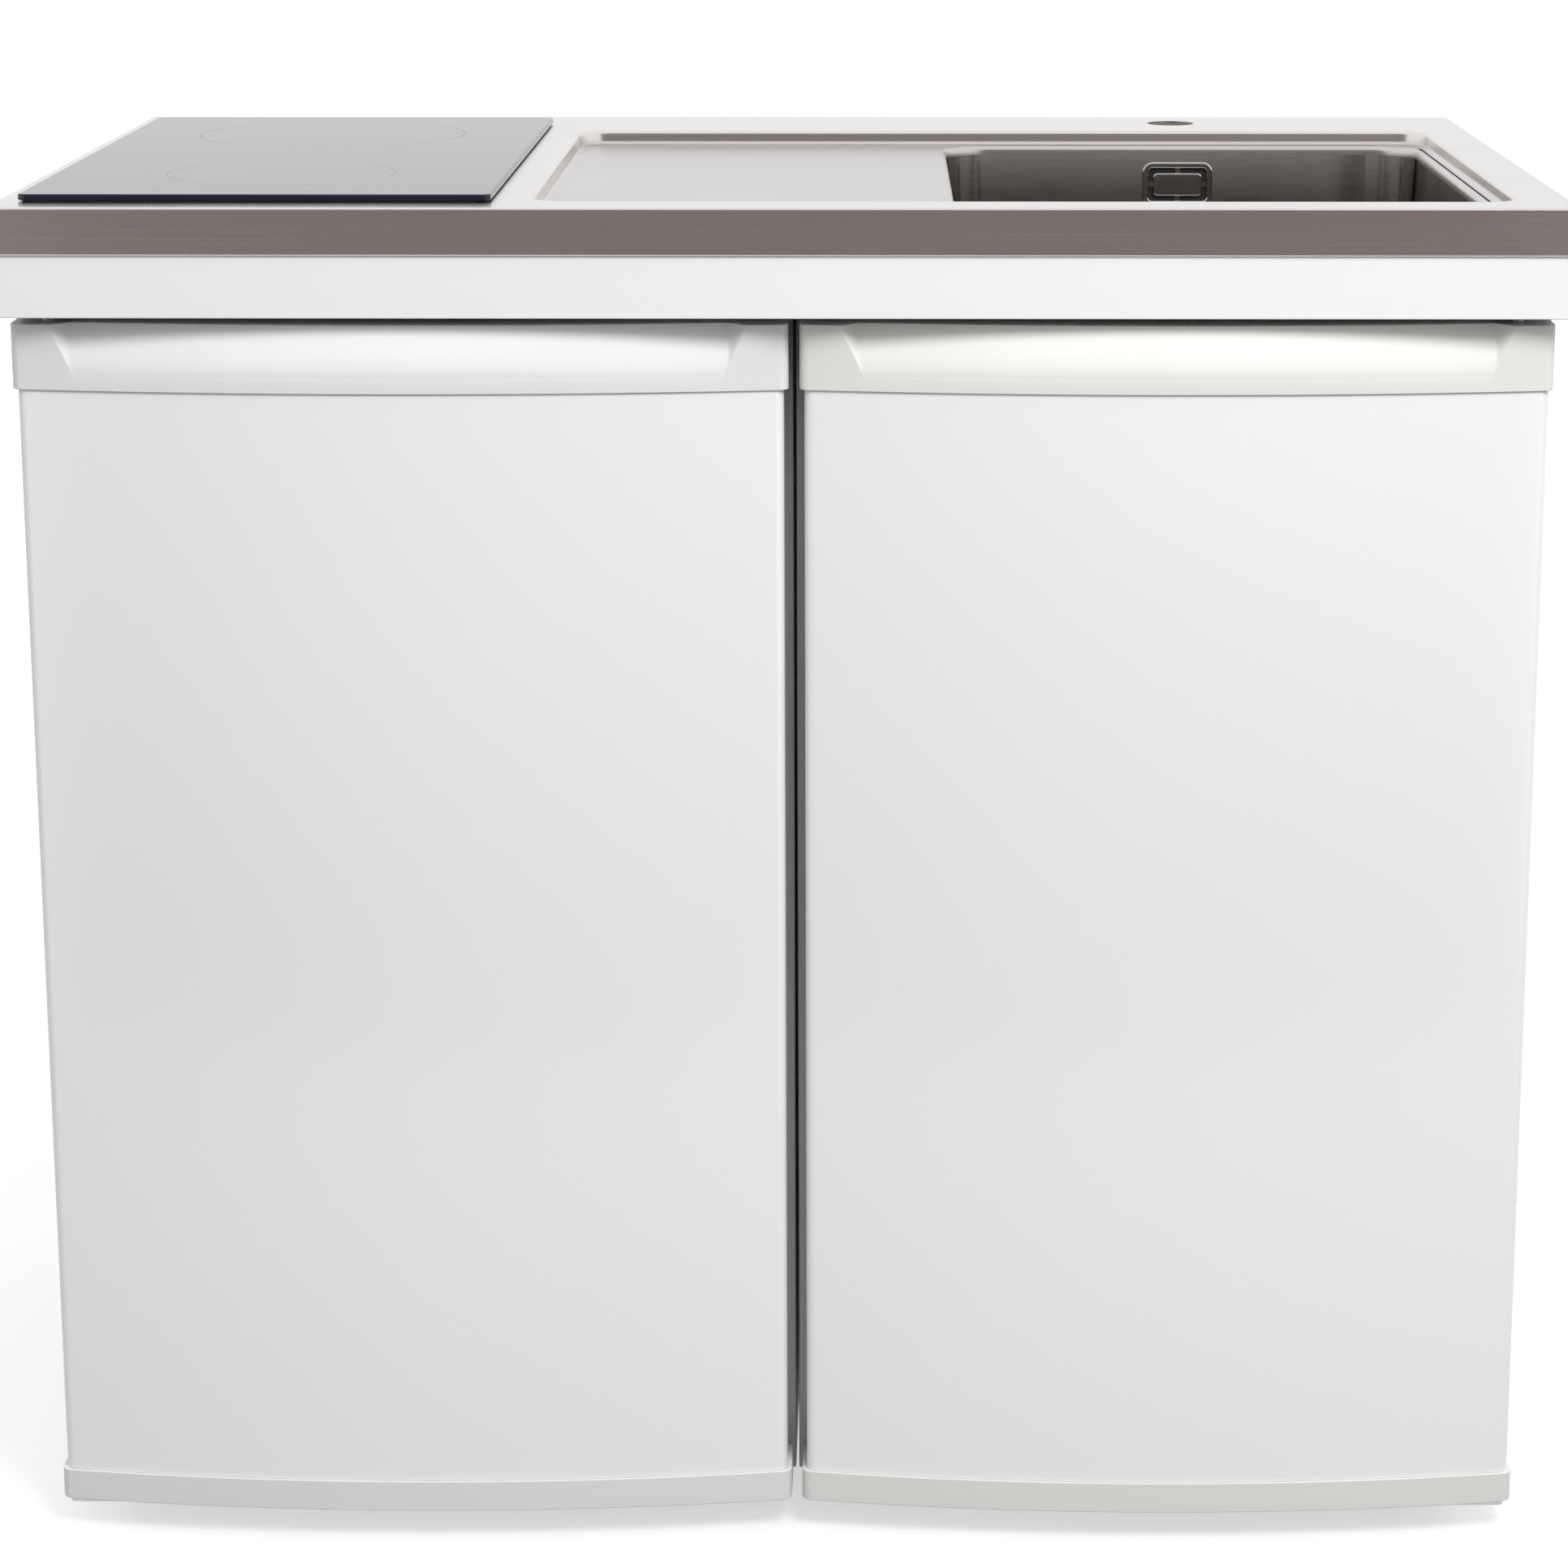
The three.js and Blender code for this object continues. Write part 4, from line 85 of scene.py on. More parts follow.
HEATERS = ((-0.335, -0.146, 0.075), (-0.335, 0.112, 0.095))
DOORS = {"fridge": (-0.491, 0.003), "cupboard": (0.010, 0.489)}
DOOR_CROWN = -0.300
DOOR_BOW = 0.019
DOOR_REAR = -0.238
REAR_ROUND = 0.002                            # radius of a door's upright rear edges
PANEL = (0.043, 0.782)
TOP_TRIM = (0.782, 0.824)
BOTTOM_TRIM = (0.022, 0.043)
CABINET_REAR = 0.270
CONDENSER = (-0.465, -0.025, 0.282)           # x where the tube's runs end, and its y
CONDENSER_LOW = 0.260                         # height of its lowest run
CONDENSER_PITCH = 0.054
CONDENSER_RUNS = 10
CONDENSER_JOIN = 0.126                        # height at which its tube meets the compressor
CARCASS = "carcass"
CREASE = math.radians(35.0)                   # edges sharper than this stay crisp
WELD_REACH = 2e-6

# The drain's heights are counted from the bowl's floor.
PIPE, BORE = 0.0198, 0.0176
HOSE_LEVEL, OUTLET_LEVEL = -0.0275, -0.1215


# ----------------------------------------------------------
# Settings
# ----------------------------------------------------------

def length_setting(name, description, default, least, most):
    return FloatProperty(
        name=name, description=description, default=default, min=least, max=most, unit="LENGTH")


def colour_setting(name, description, default):
    return FloatVectorProperty(
        name=name, description=description, default=default, subtype="COLOR", size=3, min=0.0, max=1.0)


class KitchenetteSizes(bpy.types.PropertyGroup):
    """Roundings and counts of the detailed pieces."""

    worktop_bend: length_setting(
        "Worktop bend", "Radius between the worktop's top and its turned-down edge", 0.0025, 0.0005, 0.0028)
    drainer_bend: length_setting(
        "Drainer bend", "Radius along the upper edge of the sunk drainer", 0.003, 0.001, 0.004)
    bowl_fillet: length_setting(
        "Bowl fillet", "Radius between the bowl's walls and its floor", 0.022, 0.010, 0.026)
    panel_round: length_setting(
        "Door edge", "Radius of a door panel's upright front edges", 0.006, 0.002, 0.012)
    trim_round: length_setting(
        "Trim edge", "Radius of a door trim's upright front edges", 0.006, 0.001, 0.010)
    scoop_depth: length_setting(
        "Grip depth", "How deep the grip in a door's top trim is at its upper edge", 0.014, 0.008, 0.018)
    condenser_wires: IntProperty(
        name="Condenser wires", description="Upright wires on each side of the condenser's tube",
        default=34, min=8, max=60)


class KitchenetteColours(bpy.types.PropertyGroup):
    """Colours of the finishes."""

    steel: colour_setting("Steel", "Brushed steel of worktop and drainer", (0.76, 0.735, 0.725))
    # Painted shade: the bowl's steel is much darker than the worktop's, standing in for the dark reflections
    # inside the bowl.
    bowl: colour_setting("Bowl", "Satin steel of the bowl", (0.42, 0.397, 0.383))
    enamel: colour_setting("Enamel", "White enamel of doors, frame and units", (0.84, 0.84, 0.845))
    trim: colour_setting("Left trims", "Moulded trims of the refrigerator's door", (0.74, 0.74, 0.74))
    warm_trim: colour_setting("Right trims", "Moulded trims of the cupboard's door", (0.73, 0.735, 0.708))
    glass: colour_setting("Hob glass", "Black glass ceramic", (0.010, 0.010, 0.024))


class KitchenetteStudio(bpy.types.PropertyGroup):
    """Camera and light."""

    lens: FloatProperty(
        name="Lens", description="Focal length on a 36 mm wide frame, in millimetres",
        default=90.35, min=20.0, max=200.0)
    eye: FloatVectorProperty(
        name="Eye", description="Where the camera stands", subtype="XYZ",
        size=3, default=(0.0547, -2.75, 1.19), unit="LENGTH")
    tilt: FloatProperty(
        name="Tilt", description="How far the camera looks down", subtype="ANGLE",
        default=math.radians(12.60), min=0.0, max=1.5)
    turn: FloatProperty(
        name="Turn", description="How far the camera turns to the left", subtype="ANGLE",
        default=math.radians(0.34), min=-0.5, max=0.5)
    ambient: FloatProperty(
        name="Ambient", description="Strength of the light that comes from all round",
        default=0.88, min=0.0, max=2.0)
    key: FloatProperty(
        name="Key", description="Power of the soft light from above at the right, in watts",
        default=57.0, min=0.0, max=500.0)


# ----------------------------------------------------------
# Shader expressions
# ----------------------------------------------------------

def arithmetic(operation, swapped=False):
    """A method of Wire for one operation. swapped is for a number to the left of the sign."""
    def method(self, other):
        return self.math(operation, other, self) if swapped else self.math(operation, self, other)
    return method


class Wire:
    """An output of a shader node. Arithmetic on it adds a Math node to the same material."""

    __add__, __radd__ = arithmetic("ADD"), arithmetic("ADD", swapped=True)
    __sub__, __rsub__ = arithmetic("SUBTRACT"), arithmetic("SUBTRACT", swapped=True)
    __mul__, __rmul__ = arithmetic("MULTIPLY"), arithmetic("MULTIPLY", swapped=True)
    __pow__ = arithmetic("POWER")
    greatest = arithmetic("MAXIMUM")

    def __init__(self, shader, output):
        self.shader = shader
        self.output = output

    def __abs__(self):
        return self.math("ABSOLUTE", self)

    def math(self, operation, *values):
        return self.shader.node("ShaderNodeMath", {"operation": operation}, dict(enumerate(values)))

    def below(self, limit, softness):
        """1 where the value is under a limit and 0 over it, with a straight ramp between."""
        ends = {"From Min": limit - softness, "From Max": limit + softness, "To Min": 1.0, "To Max": 0.0}
        return self.shader.node("ShaderNodeMapRange", {"clamp": True}, {"Value": self, **ends})


class Shader:
    """The node tree of a material or a world, with one method that adds any node."""

    def __init__(self, owner):
        owner.use_nodes = True
        self.owner = owner
        self.tree = owner.node_tree
        self.tree.nodes.clear()
        self.places = None

    def node(self, kind, settings=None, inputs=None, output=0):
        """Adds a node with its settings and its sockets' values or links, and returns one output, if any."""
        node = self.tree.nodes.new(kind)
        for name, value in (settings or {}).items():
            setattr(node, name, value)
        for name, value in (inputs or {}).items():
            if isinstance(value, Wire):
                self.tree.links.new(value.output, node.inputs[name])
            else:
                node.inputs[name].default_value = value
        return Wire(self, node.outputs[output]) if node.outputs else None

    def place(self):
        """Coordinates on the object, in metres."""
        if self.places is None:
            self.places = self.node("ShaderNodeTexCoord", output="Object")
        return self.places

    def axes(self):
        """The three coordinates as separate values."""
        split = self.node("ShaderNodeSeparateXYZ", inputs={"Vector": self.place()})
        return [Wire(self, output) for output in split.output.node.outputs]

    def stretched(self, scale):
        """Coordinates scaled by a different amount along each axis."""
        return self.node("ShaderNodeMapping", {"vector_type": "POINT"},
                         {"Vector": self.place(), "Scale": scale})

    def noise(self, scale, detail=3.0, vector=None, roughness=0.5):
        """Noise from 0 to 1."""
        return self.node("ShaderNodeTexNoise", {"normalize": True},
                         {"Vector": vector or self.place(), "Scale": scale, "Detail": detail,
                          "Roughness": roughness})

    def tint(self, factor, dark, light):
        """A colour between two others."""
        return self.node("ShaderNodeMix", {"data_type": "RGBA"},
                         {"Factor": factor, 6: (*dark, 1.0), 7: (*light, 1.0)}, output=2)

    def tones(self, factor, colour, dark, light):
        """A colour between its darker and its lighter tone, which are factors of it."""
        return self.tint(factor, shade(colour, dark), shade(colour, light))

    def bump(self, height, strength, distance):
        """A normal tilted by the slope of a height, whose full swing is the distance."""
        return self.node("ShaderNodeBump",
                         inputs={"Height": height, "Strength": strength, "Distance": distance})

    def surface(self, **inputs):
        """Ends the material in a Principled shader. Underscores in a name stand for spaces."""
        named = {name.replace("_", " "): value for name, value in inputs.items()}
        shader = self.node("ShaderNodeBsdfPrincipled", inputs=named)
        self.node("ShaderNodeOutputMaterial", inputs={"Surface": shader})
        return self.owner


def shade(colour, factor):
    """A colour made darker or lighter."""
    return tuple(min(channel * factor, 1.0) for channel in colour)


def brushed_steel(shader, colour, roughness=0.26, grain=(2.0, 700.0, 700.0), depth=0.00006, shaded_plan=None):
    """Fine scratches drawn out along one axis, with faint cloudy wear in the polish.

    The last argument is a low plan (x0, x1, y0, y1, top). Inside it the colour is painted darker, as shade in a
    recess, and the polish is a little rougher.
    """
    scratches = shader.noise(1.0, 4.0, shader.stretched(grain), 0.6)
    broad = shader.noise(1.0, 2.0, shader.stretched(tuple(value * 0.12 for value in grain)))
    clouds = shader.noise(6.0, 3.0)
    polish = roughness + (scratches - 0.5) * 0.16 + (clouds - 0.5) * 0.10
    brightness = 0.62 + scratches * 0.20 + broad * 0.16
    if shaded_plan:
        x0, x1, y0, y1, top = shaded_plan
        x, y, z = shader.axes()
        across = abs(x - (x0 + x1) / 2).below((x1 - x0) / 2, 0.004)
        along = abs(y - (y0 + y1) / 2).below((y1 - y0) / 2, 0.004)
        shaded_recess = across * along * z.below(top, 0.001)
        # Painted shade: the steel's colour is darker inside the sunk recess.
        brightness = brightness - shaded_recess * 0.48
        polish = polish + shaded_recess * 0.05
    return shader.surface(
        Base_Color=shader.tones(brightness, colour, 0.68, 1.08),
        Metallic=1.0, Roughness=polish,
        Normal=shader.bump(scratches, 0.35, depth))


def satin_steel(shader, colour, roughness=0.30):
    """Drawn steel: a soft directionless polish with faint rubbing marks."""
    grain = shader.noise(900.0, 2.0)
    rubbing = shader.noise(1.0, 3.0, shader.stretched((30.0, 30.0, 300.0)))
    clouds = shader.noise(9.0, 3.0)
    return shader.surface(
        Base_Color=shader.tones(clouds, colour, 0.93, 1.07),
        Metallic=1.0, Roughness=roughness + (grain - 0.5) * 0.08 + (rubbing - 0.5) * 0.10,
        Normal=shader.bump(rubbing, 0.2, 0.00005))


def polished_steel(shader, colour):
    """Bright plated metal with the faintest fogging."""
    fog = shader.noise(40.0, 3.0)
    return shader.surface(
        Base_Color=shader.tones(fog, colour, 0.96, 1.04),
        Metallic=1.0, Roughness=0.10 + fog * 0.08)


def zinc_plate(shader, colour):
    """Zinc-plated steel with crystals of slightly different grey."""
    spangle = shader.node("ShaderNodeTexVoronoi", {"feature": "F1"},
                          {"Vector": shader.place(), "Scale": 160.0}, output="Color")
    grey = shader.node("ShaderNodeSeparateColor", inputs={"Color": spangle})
    return shader.surface(
        Base_Color=shader.tones(grey, colour, 0.85, 1.12),
        Metallic=1.0, Roughness=0.36 + grey * 0.14,
        Normal=shader.bump(shader.noise(700.0), 0.1, 0.0001))


def enamel(shader, colour, gloss=0.22):
    """Stoved enamel: even colour under a clear skin with a fine orange peel."""
    peel = shader.noise(420.0, 1.0)
    tone = shader.noise(3.0, 3.0)
    return shader.surface(
        Base_Color=shader.tones(tone, colour, 0.985, 1.015),
        Roughness=gloss + (tone - 0.5) * 0.06, Coat_Weight=0.25, Coat_Roughness=0.12,
        Normal=shader.bump(peel, 0.12, 0.00012))


def moulded_plastic(shader, colour, roughness=0.34, texture=0.10):
    """Moulded plastic with a fine spark-eroded texture and a hint of flow marks."""
    fine = shader.noise(1500.0, 2.0)
    flow = shader.noise(14.0, 4.0)
    return shader.surface(
        Base_Color=shader.tones(flow, colour, 0.97, 1.02),
        Roughness=roughness + (flow - 0.5) * 0.08, IOR=1.49,
        Normal=shader.bump(fine, texture, 0.00008))


def clear_material(shader, colour, roughness, ripple):
    """Clear glass or plastic that light passes through, with a faint ripple in its face."""
    waves = shader.noise(30.0, 2.0)
    return shader.surface(
        Base_Color=shader.tint(waves, shade(colour, 0.98), colour),
        Roughness=roughness + waves * 0.03, IOR=1.48, Transmission_Weight=0.92,
        Normal=shader.bump(waves, ripple, 0.0006))


def black_glass(shader, colour):
    """Black glass ceramic with a printed ring for each heater and five dots where it is touched."""
    x, y, _ = shader.axes()
    print_mask = None
    dots = tuple((HEATERS[0][0] + step * 0.032, -0.250, 0.0) for step in (-2, -1, 0, 1, 2))
    for across, along, radius in HEATERS + dots:
        away = ((x - across) ** 2 + (y - along) ** 2) ** 0.5
        line = abs(away - radius).below(0.0007 if radius else 0.0022, 0.0002)
        print_mask = line if print_mask is None else print_mask.greatest(line)
    smears = shader.noise(11.0, 4.0)
    return shader.surface(
        Base_Color=shader.tint(print_mask, colour, (0.16, 0.16, 0.17)),
        Roughness=0.035 + smears * 0.05 + print_mask * 0.25, IOR=1.43,
        Normal=shader.bump(smears, 0.02, 0.0004))


def soft_rubber(shader, colour):
    """Matt rubber with a fine bloom."""
    bloom = shader.noise(60.0, 4.0)
    return shader.surface(
        Base_Color=shader.tones(bloom, colour, 0.92, 1.08),
        Roughness=0.62 + bloom * 0.2, Normal=shader.bump(shader.noise(900.0), 0.15, 0.0001))


def chipboard(shader, colour):
    """Pressed chips of several browns."""
    chips = shader.node("ShaderNodeTexVoronoi", {"feature": "F1"},
                        {"Vector": shader.stretched((1.0, 1.0, 2.5)), "Scale": 320.0}, output="Color")
    grey = shader.node("ShaderNodeSeparateColor", inputs={"Color": chips})
    return shader.surface(
        Base_Color=shader.tones(grey, colour, 0.62, 1.2),
        Roughness=0.78 + grey * 0.15, Normal=shader.bump(grey, 0.3, 0.0004))


def mineral_fibre(shader, colour):
    """Pressed fibre insulation with a loose felted face."""
    felt = shader.noise(260.0, 5.0, roughness=0.7)
    return shader.surface(
        Base_Color=shader.tones(felt, colour, 0.8, 1.1),
        Roughness=0.95, Normal=shader.bump(felt, 0.5, 0.001))


# Each material slot's kind of finish, its colour or the setting that holds it, and what is special to it.
FINISHES = {
    # The worktop's steel is painted darker inside the sunk drainer, as shade.
    "brushed_steel": (brushed_steel, "steel", {"shaded_plan": (*RECESS, RECESS_FLOOR + 0.003)}),
    # The satin finish is real; its darker colour is painted shade for the reflections inside the bowl.
    "bowl_steel": (satin_steel, "bowl", {"roughness": 0.12}),
    "polished_steel": (polished_steel, (0.72, 0.71, 0.70), {}),
    "board": (chipboard, (0.24, 0.21, 0.175), {}),
    "white_coat": (enamel, "enamel", {"gloss": 0.30}),
    "door_coat": (enamel, "enamel", {}),
    "trim_white": (moulded_plastic, "trim", {}),
    "trim_warm": (moulded_plastic, "warm_trim", {}),
    "liner_plastic": (moulded_plastic, (0.86, 0.87, 0.87), {"roughness": 0.22, "texture": 0.04}),
    "knob_plastic": (moulded_plastic, (0.80, 0.80, 0.80), {"roughness": 0.30}),
    "clear_plastic": (clear_material, (0.90, 0.94, 0.95), {"roughness": 0.10, "ripple": 0.15}),
    "white_pipe": (moulded_plastic, (0.80, 0.80, 0.78), {"roughness": 0.42}),
    "black_plastic": (moulded_plastic, (0.022, 0.022, 0.023), {"roughness": 0.5}),
    "foot_plastic": (moulded_plastic, (0.03, 0.03, 0.03), {"roughness": 0.55}),
    "seal_grey": (soft_rubber, (0.62, 0.63, 0.64), {}),
    "black_rubber": (soft_rubber, (0.02, 0.02, 0.02), {}),
    "hob_glass": (black_glass, "glass", {}),
    "shelf_glass": (clear_material, (0.88, 0.95, 0.92), {"roughness": 0.02, "ripple": 0.03}),
    "zinc_steel": (zinc_plate, (0.55, 0.56, 0.57), {}),
    "icebox_aluminium": (brushed_steel, (0.72, 0.73, 0.74),
                         {"roughness": 0.42, "grain": (300.0, 300.0, 4.0)}),
    "mineral_fibre": (mineral_fibre, (0.62, 0.58, 0.50), {}),
    "black_steel": (enamel, (0.02, 0.02, 0.02), {"gloss": 0.34}),
}


def finish(slot):
    """The finish of a material slot, made when it is first asked for."""
    kind, colour, special = FINISHES[slot]
    if isinstance(colour, str):
        colour = tuple(getattr(bpy.context.scene.kitchenette_colours, colour))
    name = f"{slot}_finish"
    made = bpy.data.materials.get(name)
    return made or kind(Shader(bpy.data.materials.new(name)), colour, **special)


# ----------------------------------------------------------
# Shapes
# ----------------------------------------------------------

SLANT = np.array([0.267, 0.535, 0.802])       # a direction that no pipe here runs along
NO_RIBS = (0.0, 0.0, 1, 0.0)                  # least and greatest ribbed radius, count, depth


def unit(vectors):
    return vectors / np.linalg.norm(vectors, axis=-1, keepdims=True)


def bent(corners, radii, steps=6):
    """A path whose inner corners are rounded.

    Each corner becomes a quadratic curve: with t from 0 to 1, the point is the start times the square of
    1 - t, plus the corner times 2 t (1 - t), plus the end times the square of t. Start and end lie a radius
    away from the corner, towards its neighbours.
    """
    corners = np.asarray(corners, float)
    radii = np.broadcast_to(np.asarray(radii, float), len(corners) - 2)[:, None]
    middle = corners[1:-1]
    start = middle + radii * unit(corners[:-2] - middle)
    end = middle + radii * unit(corners[2:] - middle)
    t = np.linspace(0.0, 1.0, steps + 1)[None, :, None]
    curves = (1 - t) ** 2 * start[:, None] + 2 * t * (1 - t) * middle[:, None] + t ** 2 * end[:, None]
    return np.concatenate([corners[:1], curves.reshape(-1, corners.shape[1]), corners[-1:]])


def rim(plan, radius, profile, steps=8):
    """A profile carried round a rectangle with round corners.

    The profile is rows of (inset, height). A point is its corner's centre plus the direction of its place on
    the quarter circle times the radius less the inset. The order is anticlockwise from the right front.
    """
    x0, x1, y0, y1 = plan
    centres = np.array([
        (x1 - radius, y0 + radius), (x1 - radius, y1 - radius),
        (x0 + radius, y1 - radius), (x0 + radius, y0 + radius)])
    angles = np.radians([-90.0, 0.0, 90.0, 180.0])[:, None] + np.linspace(0.0, np.pi / 2, steps + 1)
    directions = np.stack([np.cos(angles), np.sin(angles)], axis=-1).reshape(-1, 2)
    inset, height = np.asarray(profile, float).T
    flat = np.repeat(centres, steps + 1, axis=0) + (radius - inset)[:, None, None] * directions
    return raised(flat, height)


def mitre(plan, profile):
    """A profile carried round a rectangle with square corners, which move in by the inset both ways."""
    x0, x1, y0, y1 = plan
    corners = np.array([(x1, y0), (x1, y1), (x0, y1), (x0, y0)])
    outwards = np.array([(1, -1), (1, 1), (-1, 1), (-1, -1)])
    inset, height = np.asarray(profile, float).T
    return raised(corners - inset[:, None, None] * outwards, height)


def raised(flat, height):
    """Rows of flat points, each row at its own height."""
    z = np.broadcast_to(np.asarray(height, float)[:, None, None], flat.shape[:2] + (1,))
    return np.concatenate([flat, z], axis=-1)


def turned(profile, centre=(0.0, 0.0), segments=64, ribs=NO_RIBS):
    """A profile of (radius, height) turned about an upright axis.

    A point is the centre plus the radius times the cosine and sine of its angle. Radii between the ribs'
    limits grow by the ribs' depth times a square wave of the angle, made of a cosine cut off both ways.
    """
    radius, height = np.asarray(profile, float).T[:, :, None]
    angle = np.linspace(0.0, 2 * np.pi, segments, endpoint=False)
    least, most, count, depth = ribs
    wave = np.clip(np.cos(count * angle) * 3.0, -1.0, 1.0) * 0.5 + 0.5
    radius = radius + depth * ((radius > least) & (radius < most)) * wave
    x = centre[0] + radius * np.cos(angle)
    y = centre[1] + radius * np.sin(angle)
    return np.stack([x, y, np.broadcast_to(height, x.shape)], axis=-1)


def circle(x, y, radius, z, segments=48):
    """Points round a circle at a height."""
    return turned([(radius, z)], (x, y), segments)[0]


def tube(path, radius, sides=10):
    """A circle carried along a path, with one radius or one for each point.

    The direction at a point is the difference of its neighbours. One side is that direction crossed with a
    slanting vector, and the other is crossed with both. A point is the path's point plus the radius times
    the cosine of an angle along the one side and its sine along the other.
    """
    path = np.asarray(path, float)
    radius = np.reshape(radius, (-1, 1, 1))
    along = unit(np.gradient(path, axis=0))
    one = unit(np.cross(along, SLANT))
    other = np.cross(along, one)
    angle = np.linspace(0.0, 2 * np.pi, sides, endpoint=False)[None, :, None]
    return path[:, None] + radius * (np.cos(angle) * one[:, None] + np.sin(angle) * other[:, None])


def standing(points):
    """Points drawn flat, stood up so that their height faces the front: x, y, z becomes x, -z, y."""
    return np.stack([points[..., 0], -points[..., 2], points[..., 1]], axis=-1)


def lying(points):
    """Points drawn upright, laid down so that their height runs to the back: x, y, z becomes x, z, y."""
    return np.stack([points[..., 0], points[..., 2], points[..., 1]], axis=-1)


def evenly(path, step):
    """A path's points at even steps, by interpolation along its length, with how far along each one is."""
    reach = np.concatenate([[0.0], np.cumsum(np.linalg.norm(np.diff(path, axis=0), axis=1))])
    along = np.linspace(0.0, reach[-1], int(reach[-1] / step))
    return along, np.column_stack([np.interp(along, reach, column) for column in path.T])


def inside(loop, points):
    """Which points lie in a closed loop: an odd number of its edges cross the line to their right."""
    start, end = loop, np.roll(loop, -1, axis=0)
    x, y = points[:, 0, None], points[:, 1, None]
    crosses = (start[:, 1] > y) != (end[:, 1] > y)
    rise = np.where(end[:, 1] == start[:, 1], 1e-12, end[:, 1] - start[:, 1])
    at = start[:, 0] + (y - start[:, 1]) * (end[:, 0] - start[:, 0]) / rise
    return (np.count_nonzero(crosses & (x < at), axis=1) % 2) == 1


class Skin:
    """Patches of faces that are welded where their points meet."""

    def __init__(self):
        self.points = []
        self.faces = []
        self.count = 0

    def add(self, points, faces):
        self.points.append(points)
        self.faces.append(faces + self.count)
        self.count += len(points)
        return self

    def grid(self, points, closed=True, looped=False):
        """Quads between a grid's rows. closed joins its last column to the first, looped its last row."""
        rows, columns = points.shape[:2]
        index = np.arange(rows * columns).reshape(rows, columns)
        if closed:
            index = np.concatenate([index, index[:, :1]], axis=1)
        if looped:
            index = np.concatenate([index, index[:1]], axis=0)
        quads = np.stack([index[:-1, :-1], index[:-1, 1:], index[1:, 1:], index[1:, :-1]], axis=-1)
        return self.add(points.reshape(-1, 3), quads.reshape(-1, 4))

    def plate(self, *loops):
        """A level plate in the first loop and outside the others: Delaunay triangles, chosen by middle."""
        flat = [np.asarray(loop)[:, :2] for loop in loops]
        height = loops[0][0][2]
        starts = np.cumsum([0] + [len(loop) for loop in flat[:-1]])
        edges = [(int(first + i), int(first + (i + 1) % len(loop)))
                 for first, loop in zip(starts, flat) for i in range(len(loop))]
        corners = [Vector(point) for loop in flat for point in loop]
        found = delaunay_2d_cdt(corners, edges, [], 0, 1e-7)
        points = np.array([(point.x, point.y, height) for point in found[0]])
        triangles = np.array(found[2])
        middles = points[triangles].mean(axis=1)
        kept = inside(flat[0], middles)
        for hole in flat[1:]:
            kept &= ~inside(hole, middles)
        return self.add(points, triangles[kept])

    def shell(self, grid):
        """A grid whose first and last rows are closed with level plates."""
        return self.grid(grid).plate(grid[0]).plate(grid[-1])

    def block(self, low, high):
        """A box between two corners."""
        return self.shell(mitre((low[0], high[0], low[1], high[1]), [(0.0, low[2]), (0.0, high[2])]))

    def stopped(self, grid):
        """A grid whose first and last rows are closed with fans to their middles."""
        ends = [np.repeat(row.mean(axis=0)[None], len(row), axis=0) for row in (grid[0], grid[-1])]
        return self.grid(np.concatenate([ends[0][None], grid, ends[1][None]]))

    def moved(self, change):
        """The same skin with every point put through a function."""
        self.points = [change(points) for points in self.points]
        return self

    def mesh(self, name):
        points = np.concatenate(self.points)
        sizes = np.concatenate([np.full(len(faces), faces.shape[1]) for faces in self.faces])
        loops = np.concatenate([faces.ravel() for faces in self.faces])
        mesh = bpy.data.meshes.new(name)
        mesh.vertices.add(len(points))
        mesh.vertices.foreach_set("co", points.ravel())
        mesh.loops.add(len(loops))
        mesh.loops.foreach_set("vertex_index", loops.astype(np.int32))
        mesh.polygons.add(len(sizes))
        mesh.polygons.foreach_set("loop_start", (np.cumsum(sizes) - sizes).astype(np.int32))
        mesh.update(calc_edges=True)
        work = bmesh.new()
        work.from_mesh(mesh)
        bmesh.ops.remove_doubles(work, verts=work.verts, dist=WELD_REACH)
        bmesh.ops.recalc_face_normals(work, faces=work.faces)
        work.to_mesh(mesh)
        work.free()
        return mesh


def settle(piece):
    """Applies a piece's modifiers."""
    evaluated = piece.evaluated_get(bpy.context.evaluated_depsgraph_get())
    mesh = bpy.data.meshes.new_from_object(evaluated)
    old = piece.data
    piece.modifiers.clear()
    piece.data = mesh
    bpy.data.meshes.remove(old)


def make_piece(name, skin, slot, body, stands_for=(), sheet=0.0):
    """Makes a skin into a piece that rides on a body.

    sheet gives an open skin a thickness, along its normals if it is positive and against them if not.
    """
    piece = bpy.data.objects.new(name, skin.mesh(name))
    bpy.context.scene.collection.objects.link(piece)
    piece.data.materials.append(finish(slot))
    if sheet:
        wall = piece.modifiers.new("Sheet", "SOLIDIFY")
        wall.thickness = abs(sheet)
        wall.offset = math.copysign(1.0, sheet)
        wall.use_even_offset = True
        settle(piece)
    piece.data.shade_smooth()
    piece.data.set_sharp_from_angle(angle=CREASE)
    even = piece.modifiers.new("Even shading", "WEIGHTED_NORMAL")
    even.keep_sharp = True
    settle(piece)
    piece.data.name = name
    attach(piece, body)
    if stands_for:
        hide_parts(*stands_for)


# ----------------------------------------------------------
# Pieces
# ----------------------------------------------------------

